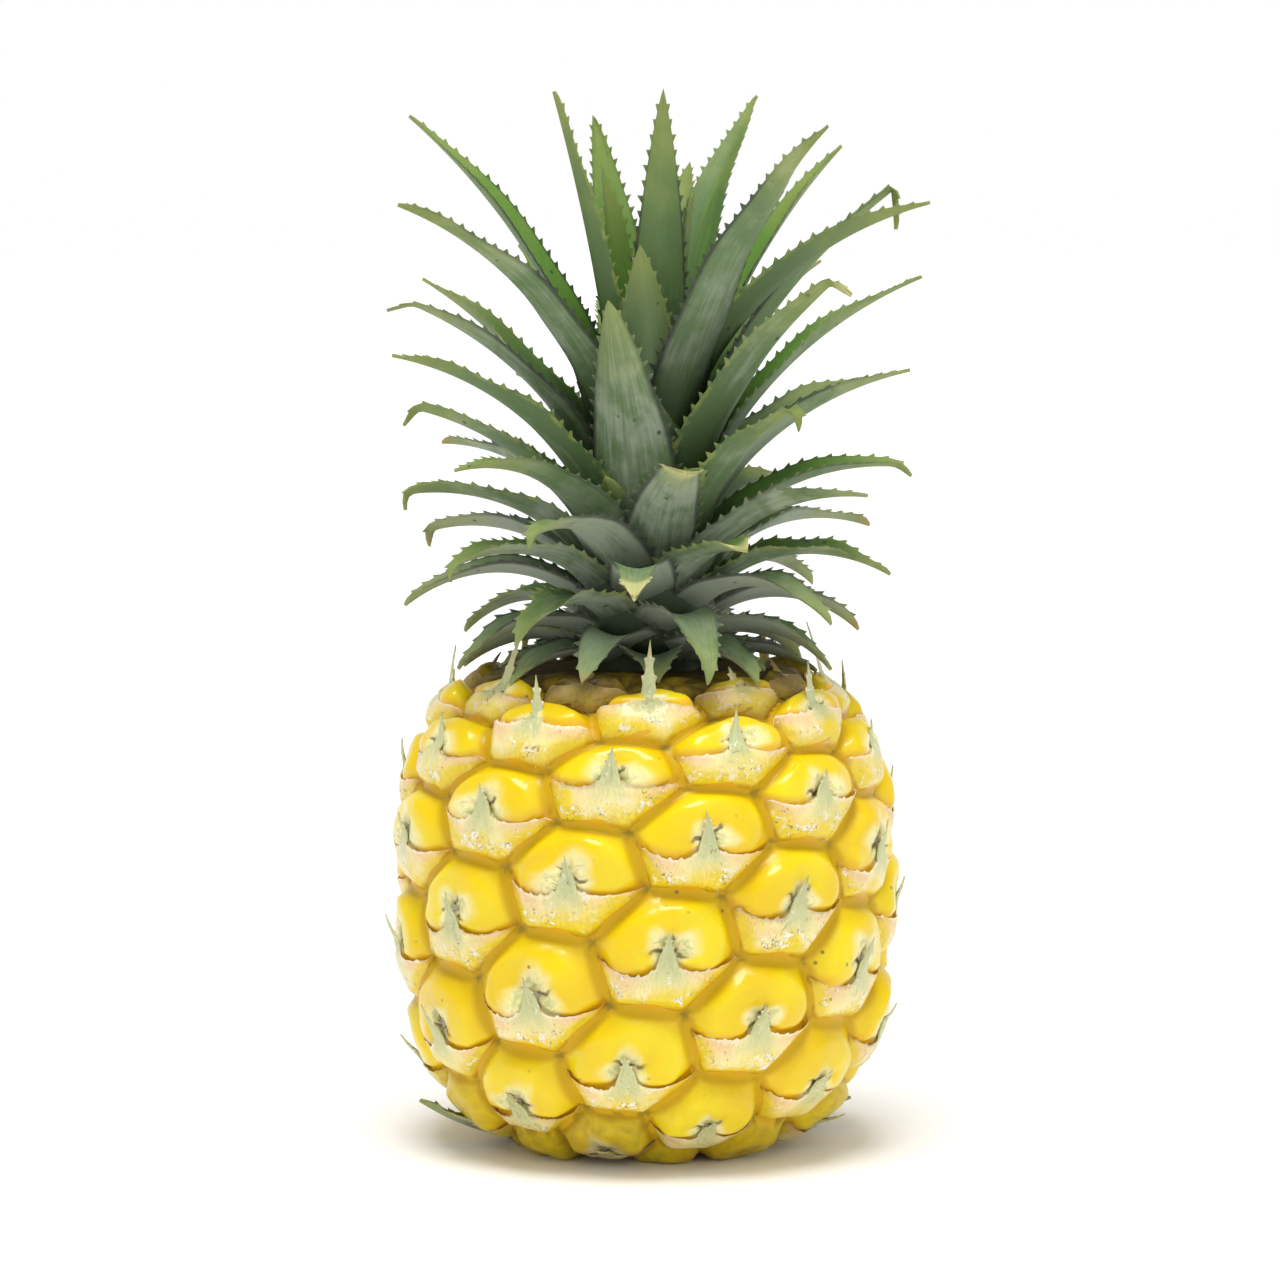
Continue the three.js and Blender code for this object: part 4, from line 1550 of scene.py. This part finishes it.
@dataclass(frozen=True)
class Blade:
    """One leaf's sizes, in millimetres and degrees, in its own upright plane."""

    azimuth: float
    root_radius: float
    root_height: float
    rise: float
    reach: float
    tip_height: float
    width: float
    seed: int
    sheath: float = 0.16
    bend: float = 0.75
    drift: float = 0.0
    hook: float = 0.0
    hook_span: float = 0.07
    dry: float = 0.0
    blunt: float = 1.0

    def headings(self, fall: float, shares: np.ndarray) -> np.ndarray:
        """The blade's angle above level along it, from rise to fall, in degrees."""
        bent = np.maximum((shares - self.sheath) / (1 - self.sheath), 0) ** self.bend
        return self.rise - (self.rise - fall) * bent

    def solve(self, steps: int = 120) -> tuple[float, float]:
        """Finds the blade that brings the tip to its reach and height.

        Args:
            steps: How finely it is followed.

        Returns:
            The angle above level at its end, in degrees, and its length.
        """
        across, up = self.reach - self.root_radius, self.tip_height - self.root_height
        shares = (np.arange(steps) + 0.5) / steps
        wanted = math.atan2(up, across)
        low, high = -170.0, 130.0
        for _ in range(40):
            middle = (low + high) / 2
            turn = np.radians(self.headings(middle, shares))
            if math.atan2(np.sin(turn).mean(), np.cos(turn).mean()) > wanted:
                high = middle
            else:
                low = middle
        turn = np.radians(self.headings(low, shares))
        run = math.hypot(np.cos(turn).mean(), np.sin(turn).mean())
        return low, math.hypot(across, up) / run


@dataclass
class LeafMaker:
    """Models a flat spiny blade and bends copies of it to each leaf's sizes."""

    columns: int = 8
    tooth_pitch: float = 2.7
    tooth: float = 1.35
    tooth_rise: float = 0.6
    channel: float = 0.17
    level_end: float = 0.085
    thickness: tuple[float, float] = (1.5, 0.4)
    steps: int = 160
    hook_from: float = 0.905
    blunt_most: float = 0.99
    roll: float = 14.0
    masters: dict[int, bpy.types.Object] = field(default_factory=dict)

    def model_blade(self, teeth: int) -> bpy.types.Object:
        """Models a flat blade with teeth along both margins.

        Args:
            teeth: How many teeth each margin has.

        Returns:
            The blade: s across from -1 to 1, t along from -1 to 1, its upper face at 1, its lower at 0.
        """
        Bench.clear()
        bpy.ops.mesh.primitive_grid_add(
            x_subdivisions=self.columns, y_subdivisions=2 * teeth, size=2.0
        )
        blade = bpy.context.active_object
        with Bench.editing(blade):
            Bench.pick("VERT", lambda v: v.co.y > 0.999)
            bpy.ops.mesh.merge(type="COLLAPSE")
            bpy.ops.mesh.select_all(action="SELECT")
            Bench.extrude((0, 0, 1))
            Bench.face_outward()
            for side in Side:
                self.cut_teeth(side, teeth)
            Bench.face_outward()
        # Bending mirrors the blade, so its faces point in here and out on the plant.
        blade.data.flip_normals()
        number_by_place(blade)
        return blade

    def cut_teeth(self, side: Side, teeth: int) -> None:
        """Pulls every other face of one margin out and forward to a spine.

        Args:
            side: The margin.
            teeth: How many teeth each margin has.
        """
        step = 1 / teeth

        def wanted(face: Any) -> bool:
            """Whether a face is on that margin, past the sheath, and at an odd place."""
            middle = face.calc_center_median()
            odd = int(math.floor((middle.y + 1) / step)) % 2 == 1
            on_side = abs(face.normal.z) < 0.5 and middle.x * side.value > 0.9
            return on_side and odd and -0.75 < middle.y < 1 - 2 * step

        Bench.pull_to_tips(wanted, (side.value, step * 0.55, 0))

    def master(self, length: float) -> bpy.types.Object:
        """The flat blade with the number of teeth that a length takes.

        Args:
            length: The leaf's length.

        Returns:
            The blade that its copies are bent from.
        """
        teeth = max(6, round(length / self.tooth_pitch / 4) * 4)
        if teeth not in self.masters:
            self.masters[teeth] = self.model_blade(teeth)
        return self.masters[teeth]

    def bend(self, blade: Blade, name: str, tint: Sequence[float]) -> bpy.types.Object:
        """Bends a copy of the flat blade to a leaf's sizes.

        Args:
            blade: The leaf's sizes.
            name: The copy's name.
            tint: Three numbers that its colour follows.

        Returns:
            The leaf, in place.
        """
        fall, length = blade.solve()
        master = self.master(length)
        flat = points_of(master)
        draw = draws(Seed.LEAF, blade.seed)
        s, t = flat[:, 0], np.clip((flat[:, 1] + 1) / 2, 0, 1)
        end = blade.blunt + self.level_end * (1 - np.abs(np.clip(s, -1, 1)) ** 1.7)
        end = np.minimum(end + draw.uniform(-0.012, 0.012, len(flat)), self.blunt_most)
        t = np.where((t > blade.blunt) & (blade.blunt < 1), end, t)
        shares = (np.arange(self.steps) + 0.5) / self.steps
        turn = np.radians(blade.headings(fall, shares))
        hooked = smooth(shares, self.hook_from, self.hook_from + blade.hook_span)
        turn -= math.radians(blade.hook) * hooked
        step = length / self.steps
        radius = blade.root_radius + np.concatenate([[0], np.cumsum(np.cos(turn))]) * step
        height = blade.root_height + np.concatenate([[0], np.cumsum(np.sin(turn))]) * step
        at = np.arange(self.steps + 1) / self.steps
        r, z = np.interp(t, at, radius), np.interp(t, at, height)
        here = np.interp(t, shares, turn)
        half = blade.width / 2 * (1 - t**2.1) ** 0.85
        inside = np.clip(s, -1, 1)
        teeth = np.clip(np.abs(s) - 1, 0, 1) * self.tooth * (1 - 0.55 * t**2)
        teeth *= draw.uniform(0.7, 1.25, len(flat))
        ripple = draw.uniform(0.15, 0.5) * np.sin(t * draw.uniform(14, 24) + draw.uniform(0, 6))
        up = self.channel * 2 * half * np.abs(inside) ** 1.7 + ripple * inside**2 * smooth(t, 0.2, 0.5)
        thick = mix(self.thickness[0], self.thickness[1], np.abs(inside) ** 1.1) * (1 - 0.55 * t)
        up = up - (1 - flat[:, 2]) * thick
        across = inside * half + np.sign(s) * teeth
        up = up + self.tooth_rise * teeth
        roll = math.radians(draw.uniform(-self.roll, self.roll)) * t**1.5
        across = across + blade.drift * t**2
        across, up = across * np.cos(roll) - up * np.sin(roll), across * np.sin(roll) + up * np.cos(roll)
        azimuth = math.radians(blade.azimuth)
        outward = np.array([math.sin(azimuth), -math.cos(azimuth), 0.0])
        beside = np.array([math.cos(azimuth), math.sin(azimuth), 0.0])
        points = outward * (r - np.sin(here) * up)[:, None] + beside * across[:, None]
        points[:, 2] = z + np.cos(here) * up
        points[:, 0] += LEAN * np.maximum(z - LEAN_FROM, 0)
        torn = smooth(t, blade.blunt - 0.03, blade.blunt) * (blade.blunt < 1)
        return laid_copy(
            master,
            name,
            points,
            place=np.stack([s, t, 1 - flat[:, 2]], axis=1),
            tint=np.tile(tint, (len(flat), 1)),
            wear=np.stack([np.full_like(t, blade.dry), torn, t * 0], axis=1),
        )

    def clear(self) -> None:
        """Removes the flat blades."""
        for master in self.masters.values():
            discard(master)
        self.masters.clear()


@dataclass
class Crown:
    """The crown: a short stem with leaves that stand closer and more upright towards its middle."""

    maker: LeafMaker
    lowest: int = -6
    highest: int = 69
    turn: float = 137.5
    first_azimuth: float = -48.0
    core_sides: int = 24
    core_swell: float = 0.04
    core_sharp: float = 60.0

    # leaf number, root radius, root height, root angle, tip reach, tip height, width
    stages: tuple[tuple[float, ...], ...] = (
        (-6, 6, 92.5, 16, 27, 92, 12),
        (0, 6, 91.2, 28, 34, 90, 12.5),
        (8, 6, 92.4, 46, 38, 92, 13),
        (16, 6, 94, 62, 46, 103, 13.5),
        (24, 6, 95.5, 70, 47, 115.5, 14.5),
        (33, 6, 98, 75, 51, 129, 15),
        (41, 6, 102, 78, 50, 148, 15),
        (50, 5.5, 108, 80, 51, 164, 14.5),
        (57, 5, 114, 82, 51, 191, 14),
        (62, 4, 118, 84, 24, 197, 14),
        (66, 3, 121, 86, 9, 188, 13.5),
        (69, 1.5, 123, 88, 3, 166, 9),
    )
    # the leaves that stray from the smooth run: tip reach, tip height, sideways drift, width
    stray: dict[int, tuple[float, ...]] = field(
        default_factory=lambda: {
            5: (36.5, 91.2, -2), 10: (41, 91.5), 13: (41.5, 98), 23: (40, 115),
            26: (48, 118.5, -4.5), 28: (46, 125), 29: (50, 124.5), 31: (46, 131),
            32: (51.5, 132.5), 34: (52, 130.5), 36: (43, 143), 37: (48.5, 141),
            38: (51, 145), 39: (26, 161, -3.5, 19), 42: (53.5, 151), 44: (26, 130),
            45: (49, 164.5), 46: (54, 165), 47: (16, 128), 49: (45, 167.5),
            50: (50, 162), 52: (14, 171, -3, 19), 53: (37, 171), 54: (51.3, 186.5),
            55: (60, 178.5), 57: (54, 192.5), 58: (48, 195.5), 59: (41, 190),
            60: (8, 168), 62: (55, 179), 63: (20, 199.5), 64: (42, 200),
            65: (5, 200), 66: (12, 186),
        }
    )
    # how much further the tips of some leaves curl down, in degrees, and over what share of them
    hooks: dict[int, tuple[float, float]] = field(
        default_factory=lambda: {
            10: (40, 0.07), 18: (70, 0.07), 21: (60, 0.07), 24: (60, 0.05),
            26: (60, 0.07), 29: (80, 0.08), 33: (30, 0.07), 36: (90, 0.04),
            37: (60, 0.05), 49: (60, 0.03), 50: (35, 0.05), 54: (120, 0.015),
        }
    )
    # where the broken leaves end, as a share of their length
    broken: dict[int, float] = field(
        default_factory=lambda: {18: 0.86, 23: 0.84, 31: 0.80, 49: 0.96}
    )
    # the leaves whose tips haven't dried
    fresh: tuple[int, ...] = (39, 52, 57, 63, 64, 65)
    # radius and height of the stem at each ring, from its neck up
    core: tuple[tuple[float, float], ...] = (
        (10.6, 86.5),
        (10.6, 93.0),
        (13.6, 96.5),
        (13.6, 108.5),
        (12.0, 118.5),
        (9.6, 128.5),
        (6.2, 139.5),
        (0.5, 145.0),
    )

    def blade(self, leaf: int) -> Blade:
        """The sizes of a leaf, read off the stages.

        Args:
            leaf: Its number, from the lowest up.

        Returns:
            Its sizes, with what it strays by.
        """
        numbers, *columns = np.array(self.stages, dtype=float).T
        values = [float(np.interp(leaf, numbers, column)) for column in columns]
        usual = (values[3], values[4], 0.0, values[5])
        stray = self.stray.get(leaf, ())
        reach, tip_height, drift, width = (*stray, *usual[len(stray):])
        hook, hook_span = self.hooks.get(leaf, (0.0, 1.0))
        return Blade(
            azimuth=self.first_azimuth - self.turn * leaf,
            root_radius=values[0],
            root_height=values[1],
            rise=values[2],
            reach=reach,
            tip_height=tip_height,
            drift=drift,
            width=width,
            hook=hook,
            hook_span=hook_span,
            blunt=self.broken.get(leaf, 1.0),
            dry=float(draws(Seed.DRYNESS, leaf).random() ** 3) * (leaf not in self.fresh),
            seed=leaf,
        )

    def leaves(self, numbers: range, name: str) -> None:
        """Makes a run of leaves as one piece.

        Args:
            numbers: The leaves.
            name: The piece's name.
        """
        made = []
        for leaf in numbers:
            own, second = draws(Seed.TINT, leaf).random(2)
            height = (leaf - self.lowest) / (self.highest - self.lowest)
            made.append(self.maker.bend(self.blade(leaf), f"leaf_{leaf}", [own, height, second]))
        settle(joined(made, name), LEAF_SHARP, LeafFinish(), Slot.LEAF, "crown")

    def stem(self) -> None:
        """Models the stem that the leaves stand out of."""
        Bench.clear()
        (first_radius, first_height), *rest = self.core
        bpy.ops.mesh.primitive_circle_add(
            vertices=self.core_sides, radius=first_radius * MM, fill_type="NGON"
        )
        stem = bpy.context.active_object
        with Bench.editing(stem):
            bpy.ops.mesh.select_all(action="SELECT")
            bpy.ops.transform.translate(value=(0, 0, first_height * MM))
            radius, height = first_radius, first_height
            for next_radius, next_height in rest:
                Bench.extrude((0, 0, (next_height - height) * MM))
                grown = next_radius / radius
                bpy.ops.transform.resize(value=(grown, grown, 1.0))
                radius, height = next_radius, next_height
            Bench.face_outward()
            bpy.ops.mesh.subdivide(number_cuts=2, smoothness=0.0)
        bpy.ops.object.transform_apply(location=True, rotation=True, scale=True)
        flat = points_of(stem) / MM
        flat[:, 0] += LEAN * np.maximum(flat[:, 2] - LEAN_FROM, 0)
        turn = np.arctan2(flat[:, 0], -flat[:, 1])
        swell = 1 + self.core_swell * np.sin(turn * 5 + flat[:, 2] * 0.6)
        flat[:, :2] *= swell[:, None]
        set_points(stem.data, flat)
        stem.name = "crown_stem"
        # Places near the root give the stem the leaves' painted root shade.
        masks = {"place": (0.4, 0.02, 0.0), "tint": (0.3, 0.0, 0.2), "wear": (0.0, 0.0, 0.0)}
        for mask, row in masks.items():
            paint(stem.data, mask, np.tile(row, (len(flat), 1)))
        settle(stem, self.core_sharp, LeafFinish(), Slot.LEAF, "crown")

    def build(self) -> None:
        """Makes the crown and puts it in its solid's place."""
        middle = (self.lowest + self.highest) // 2
        self.leaves(range(self.lowest, middle), "lower_leaves")
        self.leaves(range(middle, self.highest + 1), "upper_leaves")
        self.stem()


@dataclass
class BasalBracts:
    """Long toothed bracts that spread from under the fruit."""

    maker: LeafMaker
    # azimuth, tip reach and tip height
    spread: tuple[tuple[float, float, float], ...] = (
        (-78, 43.5, 9.5),
        (108, 42, 6),
        (162, 40, 7),
        (-140, 41, 6),
    )
    root_radius: float = 20.0
    root_height: float = 2.4
    rise: float = 2.0
    width: float = 6.5
    first_seed: int = 200
    tint: tuple[float, float, float] = (0.5, 0.4, 0.2)

    def build(self) -> None:
        """Makes the basal bracts."""
        made = []
        for number, (azimuth, reach, tip_height) in enumerate(self.spread):
            blade = Blade(
                azimuth=azimuth,
                root_radius=self.root_radius,
                root_height=self.root_height,
                rise=self.rise,
                reach=reach,
                tip_height=tip_height,
                width=self.width,
                seed=self.first_seed + number,
            )
            made.append(self.maker.bend(blade, f"basal_{number}", self.tint))
        settle(joined(made, "basal_bracts"), LEAF_SHARP, LeafFinish(), Slot.LEAF)


@dataclass
class Stalk:
    """The cut stub of the stalk, flush with the fruit's base."""

    radius: float = 9.0
    depth: float = 9.0
    sides: int = 48
    worn: float = 0.8
    rings: tuple[float, ...] = (1.2, 2.0, 2.2)
    unevenness: float = 0.15
    sharp: float = 40.0

    def build(self) -> None:
        """Makes the stub, with a worn rim and a slightly uneven cut."""
        Bench.clear()
        bpy.ops.mesh.primitive_circle_add(vertices=self.sides, radius=self.radius * MM, fill_type="NGON")
        stub = bpy.context.active_object
        with Bench.editing(stub):
            bpy.ops.mesh.select_all(action="SELECT")
            Bench.extrude((0, 0, self.depth * MM))
            Bench.face_outward()
            Bench.pick("EDGE", lambda e: all(v.co.z < 1e-5 for v in e.verts))
            bpy.ops.mesh.bevel(offset=self.worn * MM, segments=3)
            Bench.pick("FACE", lambda f: f.normal.z < -0.99)
            for step in self.rings:
                bpy.ops.mesh.inset(thickness=step * MM)
        flat = points_of(stub) / MM
        out = np.hypot(flat[:, 0], flat[:, 1])
        turn = np.arctan2(flat[:, 0], -flat[:, 1])
        cut = smooth(flat[:, 2], 2.0, 0.0) * smooth(out, 8.4, 7.0) * smooth(out, 1.0, 3.0)
        flat[:, 2] += self.unevenness * (1 + np.sin(turn * 7 + out)) * cut
        set_points(stub.data, flat)
        stub.name = "cut_stalk"
        settle(stub, self.sharp, StalkFinish(), Slot.STALK, "stalk")


# The studio.


@dataclass
class Studio:
    """A pale floor, soft lights and the camera at the height of the fruit's shoulder."""

    distance: float = 0.9
    elevation: float = 5.0
    aim: tuple[float, float, float] = (-0.00095, 0.0, 0.096)
    view_width: float = 0.2432
    sensor: float = 36.0
    floor: float = 60.0
    dimming: tuple[float, float] = (0.15, 0.6)
    overhead: float = 0.35

    def camera(self) -> None:
        """Adds the camera, looking along +Y and a little down."""
        lens = bpy.data.cameras.new("camera")
        lens.sensor_width = self.sensor
        lens.lens = self.sensor * self.distance / self.view_width
        lens.clip_start = 0.01
        camera = linked("camera", lens)
        tilt = math.radians(self.elevation)
        x, y, z = self.aim
        camera.location = (x, y - self.distance * math.cos(tilt), z + self.distance * math.sin(tilt))
        camera.rotation_euler = (math.pi / 2 - tilt, 0.0, 0.0)
        bpy.context.scene.camera = camera

    def sun(self, name: str, turn: float, height: float, power: float, spread: float) -> None:
        """Adds a broad, distant light.

        Args:
            name: The light's name.
            turn: Where it comes from, in degrees from the front towards +X.
            height: Its height above level, in degrees.
            power: How strongly it lights a face turned to it.
            spread: How broad it looks, in degrees.
        """
        light = bpy.data.lights.new(name, "SUN")
        light.energy = power
        light.angle = math.radians(spread)
        holder = linked(name, light)
        holder.rotation_euler = (math.radians(90 - height), 0.0, math.radians(turn))

    def surroundings(self) -> None:
        """Lights the scene from all round: white at the horizon, dimmer overhead."""
        world = bpy.data.worlds.new("studio")
        world.use_nodes = True
        nodes, links = world.node_tree.nodes, world.node_tree.links
        direction = nodes.new("ShaderNodeTexCoord")
        split = nodes.new("ShaderNodeSeparateXYZ")
        links.new(direction.outputs["Generated"], split.inputs[0])
        dimmer = nodes.new("ShaderNodeMapRange")
        start, end = self.dimming
        settings = {"From Min": start, "From Max": end, "To Min": 1.0, "To Max": self.overhead}
        for socket, value in settings.items():
            dimmer.inputs[socket].default_value = value
        links.new(split.outputs["Z"], dimmer.inputs["Value"])
        links.new(dimmer.outputs[0], nodes["Background"].inputs["Strength"])
        nodes["Background"].inputs["Color"].default_value = (1.0, 1.0, 1.0, 1.0)
        bpy.context.scene.world = world

    def build(self) -> None:
        """Sets up the floor, the lights, the surroundings and the camera."""
        self.camera()
        self.sun("key", turn=-14.0, height=80.0, power=2.5, spread=30.0)
        self.sun("fill", turn=30.0, height=40.0, power=0.45, spread=60.0)
        self.surroundings()
        Bench.clear()
        bpy.ops.mesh.primitive_plane_add(size=self.floor)
        ground = bpy.context.active_object
        ground.name = "floor"
        ground.data.materials.append(FloorFinish().material())
        view = bpy.context.scene.view_settings
        view.view_transform = "Standard"
        view.exposure = 0.0


def main() -> None:
    """Builds the pineapple and its studio."""
    logging.basicConfig(level=logging.INFO, format="%(message)s")
    Studio().build()
    profile, spiral = FruitProfile(), EyeSpiral()
    cells = [EyeCell(profile, spiral, eye) for eye in range(spiral.lowest, spiral.highest + 1)]
    Rind(profile, cells).build()
    Bracts(profile, cells).build()
    WitheredFlowers(profile, cells).build()
    Stalk().build()
    maker = LeafMaker()
    Crown(maker).build()
    BasalBracts(maker).build()
    maker.clear()


if __name__ == "__main__":
    main()
